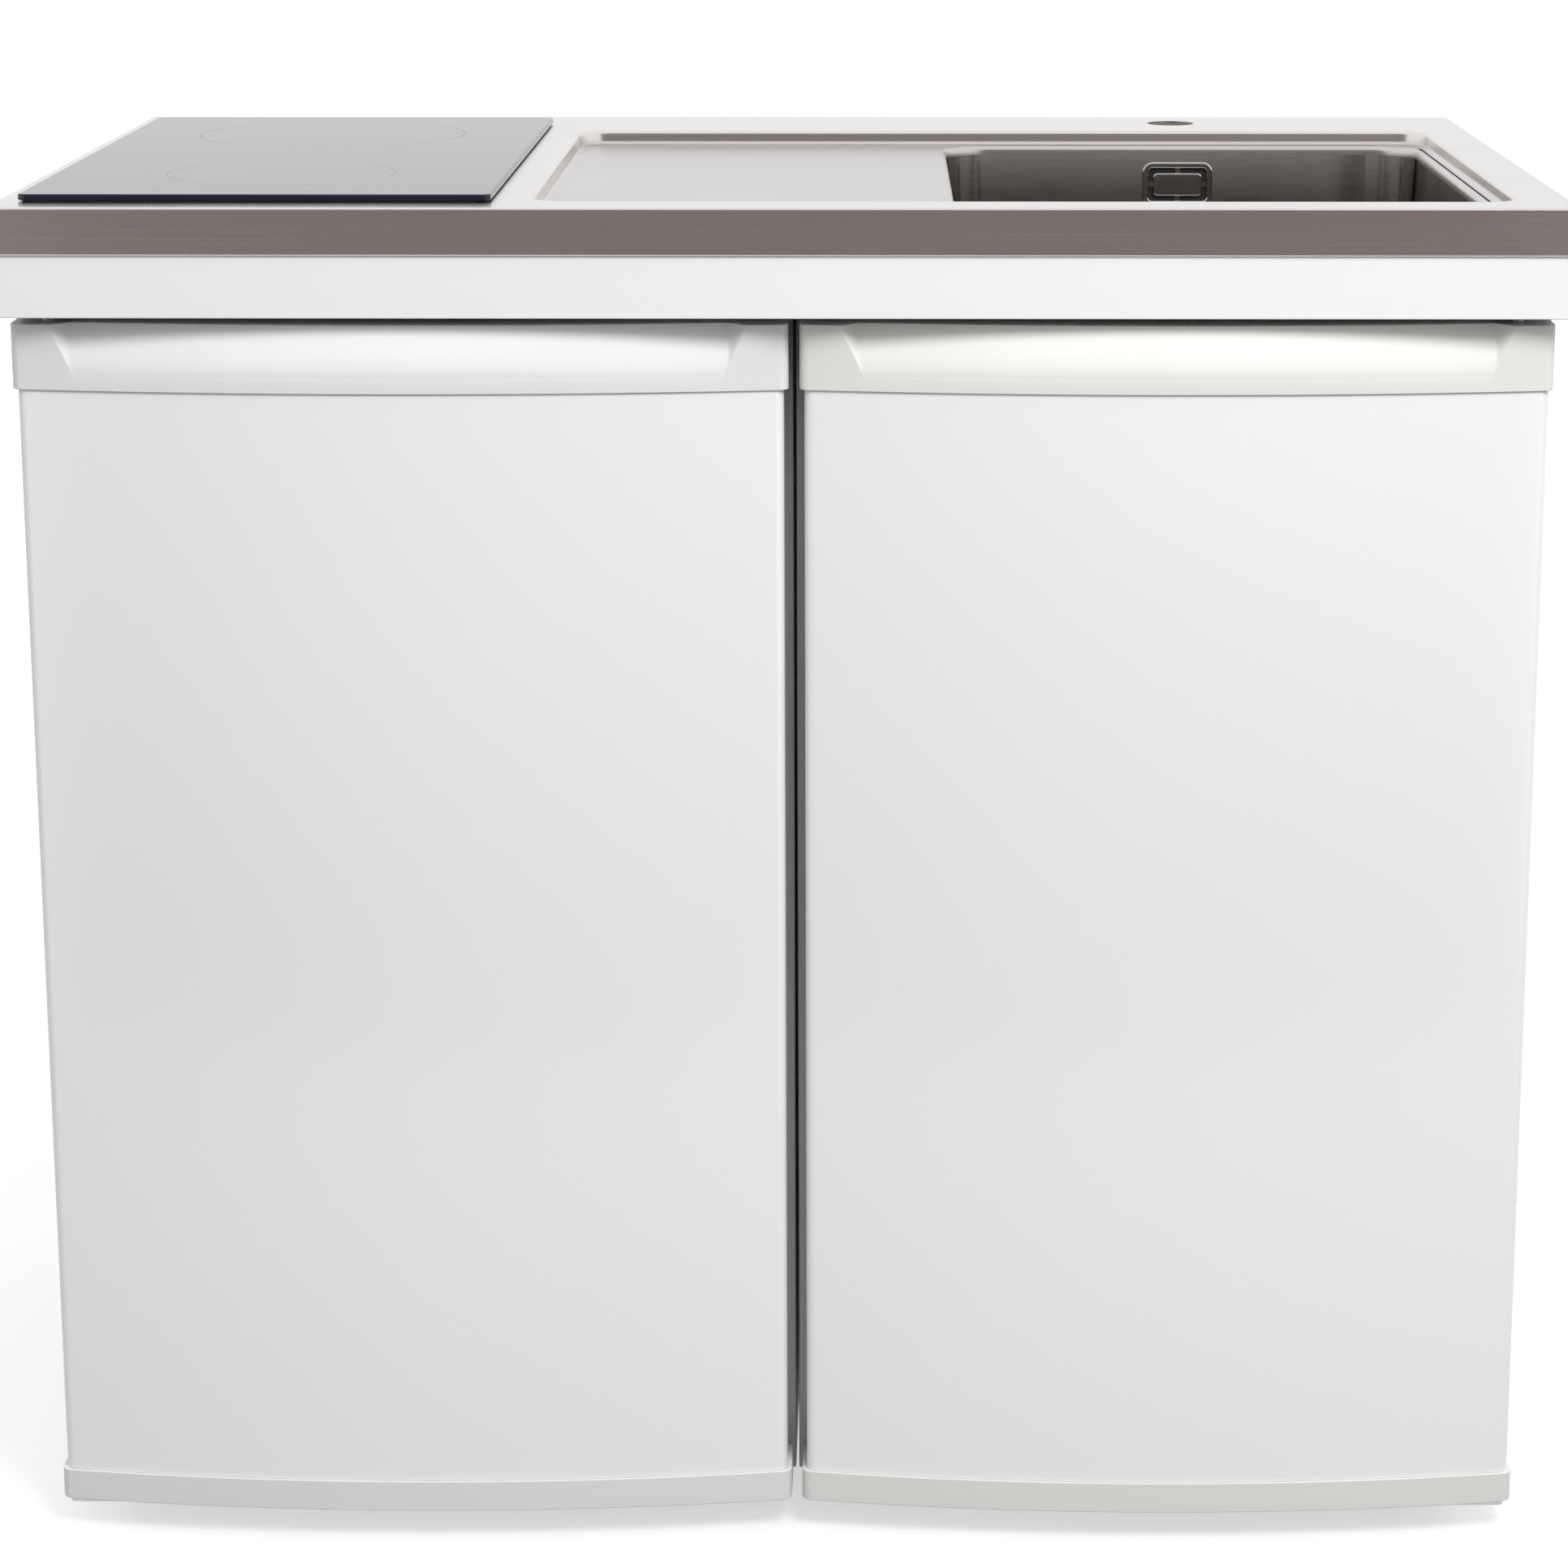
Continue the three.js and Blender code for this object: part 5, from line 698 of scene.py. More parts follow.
class KITCHENETTE_OT_worktop(bpy.types.Operator):
    """Worktop sheet with its turned-down edge, sunk drainer and cut-outs"""

    bl_idname = "kitchenette.worktop"
    bl_label = "Worktop"

    def execute(self, context):
        sizes = context.scene.kitchenette_sizes
        edge = bent([(0.0016, SKIRT_BOTTOM), (0.0, SKIRT_BOTTOM), (0.0, TOP), (0.0034, TOP)],
                    [0.001, sizes.worktop_bend])
        lip = bent([(-0.006, TOP), (-0.0005, TOP), (0.0015, RECESS_FLOOR), (0.0075, RECESS_FLOOR)],
                   [sizes.drainer_bend, 0.0035])
        lean = BOWL_LEAN * (RECESS_FLOOR - SHEET - BOWL_SEAM)
        rolled = bent([(-0.009, RECESS_FLOOR), (0.0, RECESS_FLOOR), (lean, BOWL_SEAM)], [0.0045])
        edge_rim = rim(WORKTOP, 0.004, edge, 5)
        drainer_rim = rim(RECESS, 0.022, lip, 14)
        bowl_rim = rim(BOWL, BOWL_CORNER, rolled, 16)
        cutout = rim(HOB_CUTOUT, 0.006, [(0.0, TOP)], 4)[0]
        tap = circle(*TAP_HOLE, TOP)
        skin = Skin().grid(edge_rim).plate(edge_rim[-1], drainer_rim[0], cutout, tap)
        skin.grid(drainer_rim).plate(drainer_rim[-1], bowl_rim[0]).grid(bowl_rim)
        make_piece("worktop_sheet", skin, "brushed_steel", CARCASS, ["worktop"], sheet=-SHEET)
        return {"FINISHED"}


class KITCHENETTE_OT_bowl(bpy.types.Operator):
    """Deep-drawn sink bowl"""

    bl_idname = "kitchenette.bowl"
    bl_label = "Bowl"

    def execute(self, context):
        sizes = context.scene.kitchenette_sizes
        top_inset = BOWL_LEAN * (RECESS_FLOOR - SHEET - BOWL_SEAM)
        foot_inset = BOWL_LEAN * (RECESS_FLOOR - SHEET - BOWL_FLOOR)
        profile = bent([(top_inset, BOWL_SEAM), (foot_inset, BOWL_FLOOR), (0.0315, BOWL_FLOOR)],
                       [sizes.bowl_fillet], 12)
        walls = rim(BOWL, BOWL_CORNER, profile, 16)
        waste = circle(*DRAIN, DRAIN_HOLE, BOWL_FLOOR, 64)
        skin = Skin().grid(walls).plate(walls[-1], waste)
        make_piece("sink_bowl_drawn", skin, "bowl_steel", CARCASS, ["sink_bowl"], sheet=SHEET)
        return {"FINISHED"}


class KITCHENETTE_OT_overflow(bpy.types.Operator):
    """Overflow plate on the bowl's back wall, with its seal"""

    bl_idname = "kitchenette.overflow"
    bl_label = "Overflow"

    def execute(self, context):
        low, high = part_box("overflow_plate")
        x0, x1, z0, z1 = plan = (low.x, high.x, low.z, high.z)
        back, front = -high.y, -low.y
        band, inside_band, half_bar = 0.0045, 0.008, 0.002
        section = bent([(band / 2, back), (0.0, back), (0.0, front), (band, front), (band, back),
                        (band / 2, back)], [0.0004, 0.0014, 0.0014, 0.0004], 5)[:-1]
        frame_rim = rim(plan, 0.0075, section, 8)
        skin = Skin().grid(frame_rim, looped=True)
        inner = (x0 + inside_band, x1 - inside_band, z0 + inside_band, z1 - inside_band)
        pad = bent([(0.002, back), (0.0, back), (0.0, front), (0.0028, front)], [0.0004, 0.0012], 5)
        skin.shell(rim(inner, 0.003, pad, 6))
        x, z = (x0 + x1) / 2, (z0 + z1) / 2
        level_bar = (x0 + half_bar, x1 - half_bar, z - half_bar, z + half_bar)
        upright_bar = (x - half_bar, x + half_bar, z0 + half_bar, z1 - half_bar)
        for bar in (level_bar, upright_bar):
            skin.shell(mitre(bar, [(0.0, back + 0.0002), (0.0, front - 0.0018)]))
        plate = skin.moved(standing)
        make_piece("overflow_plate_moulded", plate, "polished_steel", CARCASS, ["overflow_plate"])
        seal = Skin().shell(rim(plan, 0.0075, [(0.001, back - 0.0004), (0.001, back + 0.0003)], 8))
        make_piece("overflow_seal", seal.moved(standing), "black_rubber", CARCASS)
        return {"FINISHED"}


class KITCHENETTE_OT_waste(bpy.types.Operator):
    """Waste fitting in the bowl's floor, with its strainer basket"""

    bl_idname = "kitchenette.waste"
    bl_label = "Waste"

    def execute(self, context):
        body = "strainer_basket"
        cup = bent([(0.006, -0.026), (0.0435, -0.026), (0.0435, 0.0), (0.057, 0.0), (0.057, 0.0010),
                    (0.054, 0.0025), (0.0445, 0.0025), (0.042, 0.0), (0.042, -0.0245), (0.006, -0.0245)],
                   [0.001, 0.0005, 0.0003, 0.0003, 0.001, 0.001, 0.001, 0.002], 4)
        cup[:, 1] += BOWL_FLOOR
        skin = Skin().grid(turned(cup, DRAIN, 72), looped=True)
        make_piece("waste_flange_turned", skin, "polished_steel", CARCASS, ["waste_flange"])

        low, seat = BOWL_FLOOR - 0.0215, BOWL_FLOOR + 0.0028
        wall = bent([(0.034, low), (0.039, low + 0.012), (0.039, seat), (0.046, seat)], [0.004, 0.001], 5)
        walls = turned(wall, DRAIN, 72)
        hole_rings = [(9, 0.0265, 0.0032), (9, 0.018, 0.0030), (6, 0.0105, 0.0022)]
        holes = [circle(DRAIN[0] + reach * math.cos(2 * math.pi * i / count),
                        DRAIN[1] + reach * math.sin(2 * math.pi * i / count), radius, low, 16)
                 for count, reach, radius in hole_rings for i in range(count)]
        basket = Skin().grid(walls).plate(walls[0], *holes)
        make_piece("strainer_basket_pressed", basket, "polished_steel", body, [body], sheet=0.0008)
        knob = bent([(0.0, low), (0.005, low), (0.0038, low + 0.012), (0.0038, seat + 0.006),
                     (0.009, seat + 0.009), (0.009, seat + 0.014), (0.006, seat + 0.016),
                     (0.0, seat + 0.016)],
                    [0.0005, 0.002, 0.002, 0.002, 0.0015, 0.001], 5)
        make_piece("strainer_knob", Skin().grid(turned(knob, DRAIN, 40)), "polished_steel", body)
        return {"FINISHED"}


# Moulded pieces of the drain: the solid that each stands for, the corners of its profile as (radius, height)
# with the roundings of the inner ones, its ribs as in NO_RIBS, and its spigot to the back as (bore, radius,
# start, end, height).
DRAIN_PIECES = {
    "waste_body_moulded": {
        "solid": "waste_body",
        "corners": [(BORE, -0.0795), (PIPE, -0.0795), (PIPE, -0.0575), (0.0455, -0.0415),
                    (0.0455, -0.0058), (0.0550, -0.0058), (0.0550, -0.0018), (0.0450, -0.0018),
                    (0.0450, -0.0405), (BORE, -0.0555)],
        "roundings": [0.0005, 0.006, 0.006, 0.0015, 0.001, 0.0008, 0.0005, 0.004],
        "ribs": (0.0452, 0.0471, 36, 0.0012),
        "spigot": (0.0080, 0.0098, 0.0440, 0.0720, HOSE_LEVEL),
    },
    "trap_nut_ribbed": {
        "solid": "trap_nut",
        "corners": [(0.0203, -0.0672), (0.0203, -0.0637), (0.0278, -0.0637), (0.0288, -0.0655),
                    (0.0288, -0.0833), (0.0243, -0.0833), (0.0243, -0.0672)],
        "roundings": [0.0005, 0.001, 0.001, 0.0008, 0.0005],
        "ribs": (0.0284, 0.0300, 18, 0.0014),
    },
    "trap_body_turned": {
        "solid": "trap_body",
        "corners": [(0.0203, -0.0676), (0.0238, -0.0676), (0.0238, -0.0875), (0.0337, -0.1015),
                    (0.0337, -0.1754), (0.0315, -0.1754), (0.0315, -0.1035), (0.0180, -0.0955),
                    (0.0180, -0.1855), (0.0157, -0.1855), (0.0157, -0.0825), (0.0203, -0.0825)],
        "roundings": [0.0005, 0.004, 0.007, 0.0005, 0.0005, 0.004, 0.003, 0.0005, 0.0005, 0.001],
        "spigot": (BORE, PIPE, 0.0320, 0.0599, OUTLET_LEVEL),
    },
    "trap_cup_ribbed": {
        "solid": "trap_cup",
        "corners": [(0.0, -0.2114), (0.0283, -0.2114), (0.0330, -0.2054), (0.0330, -0.1795),
                    (0.0366, -0.1752), (0.0366, -0.1617), (0.0343, -0.1617), (0.0343, -0.1758),
                    (0.0308, -0.1795), (0.0308, -0.2044), (0.0273, -0.2089), (0.0, -0.2089)],
        "roundings": [0.003, 0.003, 0.002, 0.001, 0.0008, 0.0005, 0.0005, 0.001, 0.002, 0.002],
        "ribs": (0.0362, 0.0380, 24, 0.0018),
    },
}


class KITCHENETTE_OT_drain(bpy.types.Operator):
    """Waste body, bottle trap, outlet pipe and corrugated overflow hose under the bowl"""

    bl_idname = "kitchenette.drain"
    bl_label = "Drain"

    def execute(self, context):
        for name, form in DRAIN_PIECES.items():
            profile = bent(form["corners"], form["roundings"], 4)
            walls = turned(profile, DRAIN, 144, form.get("ribs", NO_RIBS)) + (0.0, 0.0, BOWL_FLOOR)
            skin = Skin().grid(walls, looped=profile[0, 0] > 0.0)
            if "spigot" in form:
                bore, radius, start, end, z = form["spigot"]
                self.add_level(skin, [(bore, start), (radius, start), (radius, end), (bore, end)], z)
            self.add(name, skin, form["solid"])

        outlet = bent([(BORE, 0.0604), (0.0203, 0.0604), (0.0203, 0.0464), (0.0246, 0.0464), (0.0246, 0.0682),
                       (PIPE, 0.0682), (PIPE, 0.3062), (BORE, 0.3062)],
                      [0.0004, 0.0004, 0.001, 0.001, 0.0004, 0.0004], 4)
        skin = self.add_level(Skin(), outlet, OUTLET_LEVEL, (0.0242, 0.0250, 18, 0.0013))
        self.add("trap_outlet_with_nut", skin, "trap_outlet")
        self.add("overflow_hose_corrugated", self.hose(), "overflow_pipe")
        return {"FINISHED"}

    @staticmethod
    def add(name, skin, solid):
        make_piece(name, skin, "white_pipe", CARCASS, [solid])

    @staticmethod
    def add_level(skin, profile, z, ribs=NO_RIBS):
        """Adds a closed profile of (radius, reach), turned about a level axis from the drain to the back."""
        walls = lying(turned(profile, segments=72, ribs=ribs)) + (*DRAIN, BOWL_FLOOR + z)
        return skin.grid(walls, looped=True)

    @staticmethod
    def hose(pitch=0.0042, swell=0.0009, cuff=0.012):
        """Overflow hose. Between its cuffs, its radius shrinks by half the swell times 1 - sin of the way."""
        low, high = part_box("overflow_pipe")
        x, back, z = DRAIN[0], high.y - 0.0098, BOWL_FLOOR + HOSE_LEVEL
        corners = [(x, back, high.z), (x, back, z), (x, low.y, z)]
        way, path = evenly(bent(corners, 0.025, 12), 0.0007)
        waved = np.clip((np.minimum(way, way[-1] - way) - cuff) / 0.002, 0.0, 1.0)
        radius = 0.0094 - waved * swell * (1.0 - np.sin(way * 2 * np.pi / pitch)) * 0.5
        walls = np.concatenate([tube(path, radius, 24), tube(path, 0.0078, 24)[::-1]])
        return Skin().grid(walls, looped=True)


class KITCHENETTE_OT_hob(bpy.types.Operator):
    """Hob glass with ground edges on its seal"""

    bl_idname = "kitchenette.hob"
    bl_label = "Hob"

    def execute(self, context):
        edge = bent([(0.004, HOB_UNDERSIDE), (0.0, HOB_UNDERSIDE), (0.0, HOB_TOP), (0.004, HOB_TOP)],
                    [0.0008, 0.0016], 6)
        glass = Skin().shell(rim(HOB, 0.006, edge, 8))
        make_piece("hob_glass_ground", glass, "hob_glass", CARCASS, ["hob_glass"])
        band = [(0.0015, TOP), (0.0015, HOB_UNDERSIDE), (0.0110, HOB_UNDERSIDE), (0.0110, TOP)]
        seal = Skin().grid(rim(HOB, 0.0125, band, 6), looped=True)
        make_piece("hob_seal_band", seal, "black_rubber", CARCASS, ["hob_seal"])
        return {"FINISHED"}


def bow(door, x):
    """Y of a door's front: a circle's arc through both ends and the crown."""
    x0, x1 = door
    half = (x1 - x0) / 2
    radius = (half ** 2 + DOOR_BOW ** 2) / (2 * DOOR_BOW)
    return DOOR_CROWN + radius - np.sqrt(radius ** 2 - (x - (x0 + x1) / 2) ** 2)


def door_rows(door, heights, side, front, rear, edge, columns, sink=None):
    """Level outlines of a door, one row for each height.

    side, front and rear say how far each row is drawn in there. Along the front, x runs from end to end and
    y is the bow plus what the sink function adds. Over the edge radius at each end, x moves in by the radius
    times 1 - cos and y by the radius times 1 - sin of an angle from 0 to 90 degrees. The rear corners have
    the same form. columns are the front's places between the edges, from 0 to 1, or full rows of x.
    """
    x0, x1 = door
    side, front, rear = (np.broadcast_to(np.asarray(value, float), len(heights))[:, None]
                         for value in (side, front, rear))
    angle = np.linspace(0.0, np.pi / 2, 9)[None, :]
    near, drop = edge * (1 - np.cos(angle)), edge * (1 - np.sin(angle))
    left, right = x0 + side + near, x1 - side - near
    if len(columns) == 1:
        columns = (x0 + side + edge) + columns * (x1 - x0 - 2 * side - 2 * edge)
    front_x = np.concatenate([left, columns, right[:, ::-1]], axis=1)
    drops = np.concatenate([drop + 0 * left, 0 * columns, drop[:, ::-1] + 0 * left], axis=1)
    front_y = bow(door, front_x) + front + drops
    if sink is not None:
        front_y = front_y + sink(front_x, np.asarray(heights)[:, None])
    near, drop = REAR_ROUND * (1 - np.cos(angle)), REAR_ROUND * (1 - np.sin(angle))
    rear_x = np.concatenate([x1 - side - near, x0 + side + near[:, ::-1]], axis=1)
    rear_y = DOOR_REAR - rear - np.concatenate([drop, drop[:, ::-1]], axis=1) + 0 * rear_x
    x = np.concatenate([front_x, rear_x], axis=1)
    y = np.concatenate([front_y, rear_y], axis=1)
    return raised(np.stack([x, y], axis=-1), heights)


def eased_heights(low, high, radius, between):
    """Heights from low to high with a rounded edge at both ends, and how far each is drawn in."""
    angle = np.linspace(0.0, np.pi / 2, 5)
    rise, drawn = radius * (1 - np.cos(angle)), radius * (1 - np.sin(angle))
    heights = np.concatenate([low + rise, between, high - rise[::-1]])
    return heights, np.concatenate([drawn, np.zeros(len(between)), drawn[::-1]])


class Grip:
    """The scooped grip in a door's top trim."""

    height = 0.034
    end_at_top = 0.026
    end_at_foot = 0.0416
    slope = 0.9                               # width of the slanted end wall for each unit of its depth
    soft = 0.0009                             # rounding where its faces meet

    def __init__(self, door, depth):
        self.door = door
        self.depth = depth

    def share(self, z):
        """0 at the grip's foot and 1 at the door's top."""
        return np.clip((z - (TOP_TRIM[1] - self.height)) / self.height, 0.0, 1.0)

    def floor(self, z):
        """Depth away from the ends: it grows by 1 less the cosine of a quarter turn."""
        return self.depth * (1 - np.cos(self.share(z) * np.pi / 2))

    def end(self, z):
        return self.end_at_foot + (self.end_at_top - self.end_at_foot) * self.share(z)

    def sink(self, x, z):
        """Depth at a place: the lesser of the floor's depth and the slanted end wall's, and never under 0.

        Both choices are softened: half of the sum or difference less or plus the root of the squared
        difference and a squared rounding.
        """
        off = np.minimum(x - self.door[0], self.door[1] - x) - self.end(z)
        wall = off / self.slope
        least = 0.5 * (wall + self.floor(z) - np.sqrt((wall - self.floor(z)) ** 2 + self.soft ** 2))
        return 0.5 * (least + np.sqrt(least ** 2 + self.soft ** 2 / 4)) * (self.share(z) > 0)

    def columns(self, z, edge):
        """X of every column in a row. They crowd where the end walls begin and where they reach the floor."""
        z = np.asarray(z)[:, None]
        x0, x1 = self.door
        start = x0 + self.end(z)
        foot = start + np.maximum(self.floor(z) * self.slope, 0.0025)
        crowd = np.linspace(-1.0, 1.0, 9)[None, :]
        anchors = [
            x0 + edge + np.linspace(0.0, 1.0, 7)[None, 1:-1] * (start - 0.0012 - x0 - edge),
            start + crowd * 0.0011,
            start + (foot - start) * np.linspace(0.0, 1.0, 8)[None, 2:-2],
            foot + crowd * 0.0011,
        ]
        left = np.sort(np.concatenate(anchors, axis=1), axis=1)
        right = x0 + x1 - left[:, ::-1]
        middle = foot + 0.0012 + np.linspace(0.0, 1.0, 50)[None, 1:-1] * (x0 + x1 - 2 * foot - 0.0024)
        return np.concatenate([left, middle, right], axis=1)


class KITCHENETTE_OT_doors(bpy.types.Operator):
    """Bowed door panels with their moulded trims"""

    bl_idname = "kitchenette.doors"
    bl_label = "Doors"

    def execute(self, context):
        sizes = context.scene.kitchenette_sizes
        even = np.linspace(0.0, 1.0, 50)[None, 1:-1]
        for unit_name, trim_slot in (("fridge", "trim_white"), ("cupboard", "trim_warm")):
            door, body = DOORS[unit_name], f"{unit_name}_door"

            heights, drawn = eased_heights(*PANEL, 0.0005, np.linspace(*PANEL, 26)[1:-1])
            rows = door_rows(door, heights, 0.003 + drawn, 0.0015 + drawn, drawn, sizes.panel_round, even)
            self.add(rows, body, "panel", "bowed", "door_coat")

            grip = Grip(door, sizes.scoop_depth)
            between = np.linspace(TOP_TRIM[1] - Grip.height, TOP_TRIM[1], 30)
            between = np.concatenate([[TOP_TRIM[0] + 0.004], between[between < TOP_TRIM[1] - 0.0008]])
            heights, drawn = eased_heights(*TOP_TRIM, 0.0005, between)
            rows = door_rows(door, heights, drawn, drawn, drawn, sizes.trim_round,
                             grip.columns(heights, sizes.trim_round), grip.sink)
            self.add(rows, body, "top_trim", "scooped", trim_slot)

            heights, drawn = eased_heights(*BOTTOM_TRIM, 0.0006, np.linspace(*BOTTOM_TRIM, 4)[1:-1])
            rows = door_rows(door, heights, drawn, drawn, drawn, sizes.trim_round, even)
            self.add(rows, body, "bottom_trim", "bowed", trim_slot)
        return {"FINISHED"}

    @staticmethod
    def add(rows, body, part, form, slot):
        make_piece(f"{body}_{part}_{form}", Skin().shell(rows), slot, body, [f"{body}_{part}"])


class KITCHENETTE_OT_condenser(bpy.types.Operator):
    """Condenser tube with its upright wires, on the refrigerator's back"""

    bl_idname = "kitchenette.condenser"
    bl_label = "Condenser"

    def execute(self, context):
        x0, x1, y = CONDENSER
        wire_margin, wire_end, wire_off, stand_off = 0.034, 0.012, 0.0031, 0.045
        order = np.arange(CONDENSER_RUNS, -1, -1)
        levels = CONDENSER_LOW + CONDENSER_PITCH * order
        firsts = np.where(order % 2 == 0, x1, x0)
        ends = np.stack([firsts, x0 + x1 - firsts], axis=-1).ravel()
        serpentine = np.column_stack([ends, np.full(len(ends), y), np.repeat(levels, 2)])
        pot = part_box("compressor")
        pot_y = (pot[0].y + pot[1].y) / 2
        tail = [(x0, y, CONDENSER_JOIN), (x0, pot_y, CONDENSER_JOIN),
                (pot[0].x - 0.0003, pot_y, CONDENSER_JOIN)]
        path = bent(np.concatenate([serpentine, tail]), CONDENSER_PITCH / 2 - 0.003, 7)
        skin = Skin().stopped(tube(path, 0.0025, 12))

        bottom, top = CONDENSER_LOW - wire_end, levels[0] + wire_end
        middle = CONDENSER_LOW + CONDENSER_RUNS * CONDENSER_PITCH / 2
        count = context.scene.kitchenette_sizes.condenser_wires
        wires = np.linspace(x0 + wire_margin, x1 - wire_margin, count)
        for wire_y in (y - wire_off, y + wire_off):
            for x in wires:
                skin.stopped(tube([(x, wire_y, z) for z in (bottom, middle, top)], 0.0007, 6))
        for x in (x0 + stand_off, x1 - stand_off):
            for z in (CONDENSER_LOW + CONDENSER_PITCH / 2, levels[0] - CONDENSER_PITCH / 2):
                skin.block((x - 0.005, CABINET_REAR, z - 0.006), (x + 0.005, y + 0.0025, z + 0.006))
        make_piece("condenser_tube_and_wires", skin, "black_steel", CARCASS, ["condenser_grid"])
        return {"FINISHED"}


class KITCHENETTE_OT_compressor(bpy.types.Operator):
    """Welded compressor pot on its plate, with feet, pipe stub and terminal cover"""

    bl_idname = "kitchenette.compressor"
    bl_label = "Compressor"

    stretch = 1.4

    def execute(self, context):
        low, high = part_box("compressor")
        radius, half = 0.0618, 0.0599
        length, width = radius * self.stretch + 0.013, radius - 0.002
        x, y, middle = high.x - length, (low.y + high.y) / 2, high.z - half
        angle = np.radians(np.linspace(1.5, 90.0, 26))
        dome = np.column_stack([radius * np.maximum(np.cos(angle), 0.0) ** 0.6, half * np.sin(angle) ** 0.8])
        dome[-1, 0] = 0.0
        seam = np.array([(radius + 0.003, 0.0022), (radius, 0.0026)])
        upper = np.concatenate([seam, dome])
        profile = np.concatenate([upper[::-1] * (1.0, -1.0), upper]) + (0.0, middle)
        pot = turned(profile, (0.0, 0.0), 96) * (self.stretch, 1.0, 1.0) + (x, y, 0.0)
        skin = Skin().grid(pot)

        z0, z1 = low.z + 0.010, low.z + 0.016
        plate = bent([(0.002, z0), (0.0, z0), (0.0, z1), (0.002, z1)], [0.0008, 0.0008], 3)
        skin.shell(rim((x - length, x + length, y - width, y + width), 0.012, plate, 6))
        foot = bent([(0.0, 0.0), (0.009, 0.0), (0.009, 0.0035), (0.0062, 0.0045), (0.009, 0.0055),
                     (0.009, 0.0105), (0.0, 0.0105)], [0.0008, 0.0008, 0.0006, 0.0008, 0.0008], 3)
        bolt = bent([(0.0, 0.0155), (0.0042, 0.0155), (0.0042, 0.0190), (0.0, 0.0190)], [0.0003, 0.0008], 3)
        for side in (-1, 1):
            for end in (-1, 1):
                centre = (x + side * (length - 0.012), y + end * (width - 0.012))
                for shape in (foot, bolt):
                    skin.grid(turned(shape, centre, 24) + (0.0, 0.0, low.z))
        z0, z1 = middle - 0.028, middle + 0.014
        cover = bent([(0.002, z0), (0.0, z0), (0.0, z1), (0.002, z1)], [0.001, 0.001], 3)
        cover_plan = (x + radius * self.stretch - 0.012, x + length - 0.0005, y - 0.024, y + 0.024)
        skin.shell(rim(cover_plan, 0.004, cover, 5))
        stub = [(place, y, CONDENSER_JOIN) for place in (x - radius, low.x + 0.02, low.x)]
        skin.stopped(tube(stub, 0.0038, 16))
        make_piece("compressor_pot_welded", skin, "black_steel", CARCASS, ["compressor"])
        return {"FINISHED"}


class KITCHENETTE_OT_fittings(bpy.types.Operator):
    """Fluted thermostat knob and the front strips of the glass shelves"""

    bl_idname = "kitchenette.fittings"
    bl_label = "Fittings"

    def execute(self, context):
        low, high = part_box("thermostat_knob")
        x, z, base = (low.x + high.x) / 2, (low.z + high.z) / 2, -high.y
        knob = bent([(0.0, 0.0), (0.0120, 0.0), (0.0120, 0.0040), (0.0103, 0.0130), (0.0, 0.0130)],
                    [0.0005, 0.0015, 0.0015], 5)
        flutes = (0.0107, np.inf, 24, 0.0006)
        skin = Skin().grid(turned(knob, (x, z), 192, flutes) + (0.0, 0.0, base))
        skin.block((x - 0.0015, z + 0.001, base + 0.0120), (x + 0.0015, z + 0.0105, base + 0.0148))
        make_piece("thermostat_knob_fluted", skin.moved(standing), "knob_plastic", "thermostat_knob",
                   ["thermostat_knob"])

        strip = bent([(0.002, -0.0022), (0.0, -0.0022), (0.0, 0.0062), (0.002, 0.0062)], [0.0012, 0.0022], 4)
        for shelf in ("shelf_lower", "shelf_upper", "crisper_cover"):
            low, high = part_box(shelf)
            plan = (low.x + 0.001, high.x - 0.001, low.y - 0.0015, low.y + 0.009)
            skin = Skin().shell(rim(plan, 0.003, strip, 4) + (0.0, 0.0, low.z))
            make_piece(f"{shelf}_front_strip", skin, "liner_plastic", CARCASS)
        return {"FINISHED"}


# Nodes whose shape is kept, by the slot of their finish.
CARRIED_OVER = {
    "board": ["worktop_core"],
    "white_coat": ["worktop_frame", "fridge_cabinet", "cupboard_shell", "cupboard_bottom",
                   "cupboard_door_liner"],
    "white_pipe": ["overflow_box"],
    "zinc_steel": ["hob_casing", "hob_clamp_front", "hob_clamp_rear", "fridge_hinge_bottom",
                   "fridge_hinge_top", "cupboard_hinge_bottom", "cupboard_hinge_top"],
    "mineral_fibre": ["heater_front", "heater_rear"],
    "black_plastic": ["hob_touch_board", "hob_terminal_box", "drip_tray"],
    "liner_plastic": ["fridge_liner", "thermostat_housing", "fridge_door_liner"],
    "icebox_aluminium": ["icebox"],
    "clear_plastic": ["icebox_flap", "crisper_drawer", "door_rack_lower", "door_rack_upper"],
    "shelf_glass": ["shelf_lower", "shelf_upper", "crisper_cover"],
    "seal_grey": ["fridge_door_gasket", "cupboard_door_gasket"],
    "foot_plastic": ["fridge_foot_left", "fridge_foot_right", "cupboard_foot_front_left",
                     "cupboard_foot_front_right", "cupboard_foot_rear_left", "cupboard_foot_rear_right"],
}


# Kept nodes whose edges are rounded where they turn by more than an angle, and how wide.
EASED_ANGLE = math.radians(50.0)
EASED = {
    "worktop_frame": 0.0010, "fridge_cabinet": 0.0015, "cupboard_shell": 0.0010, "cupboard_bottom": 0.0008,
    "fridge_door_gasket": 0.0015, "cupboard_door_gasket": 0.0015, "door_rack_lower": 0.0006,
    "door_rack_upper": 0.0006, "crisper_drawer": 0.0006, "thermostat_housing": 0.0015, "shelf_lower": 0.0005,
    "shelf_upper": 0.0005, "crisper_cover": 0.0005,
}


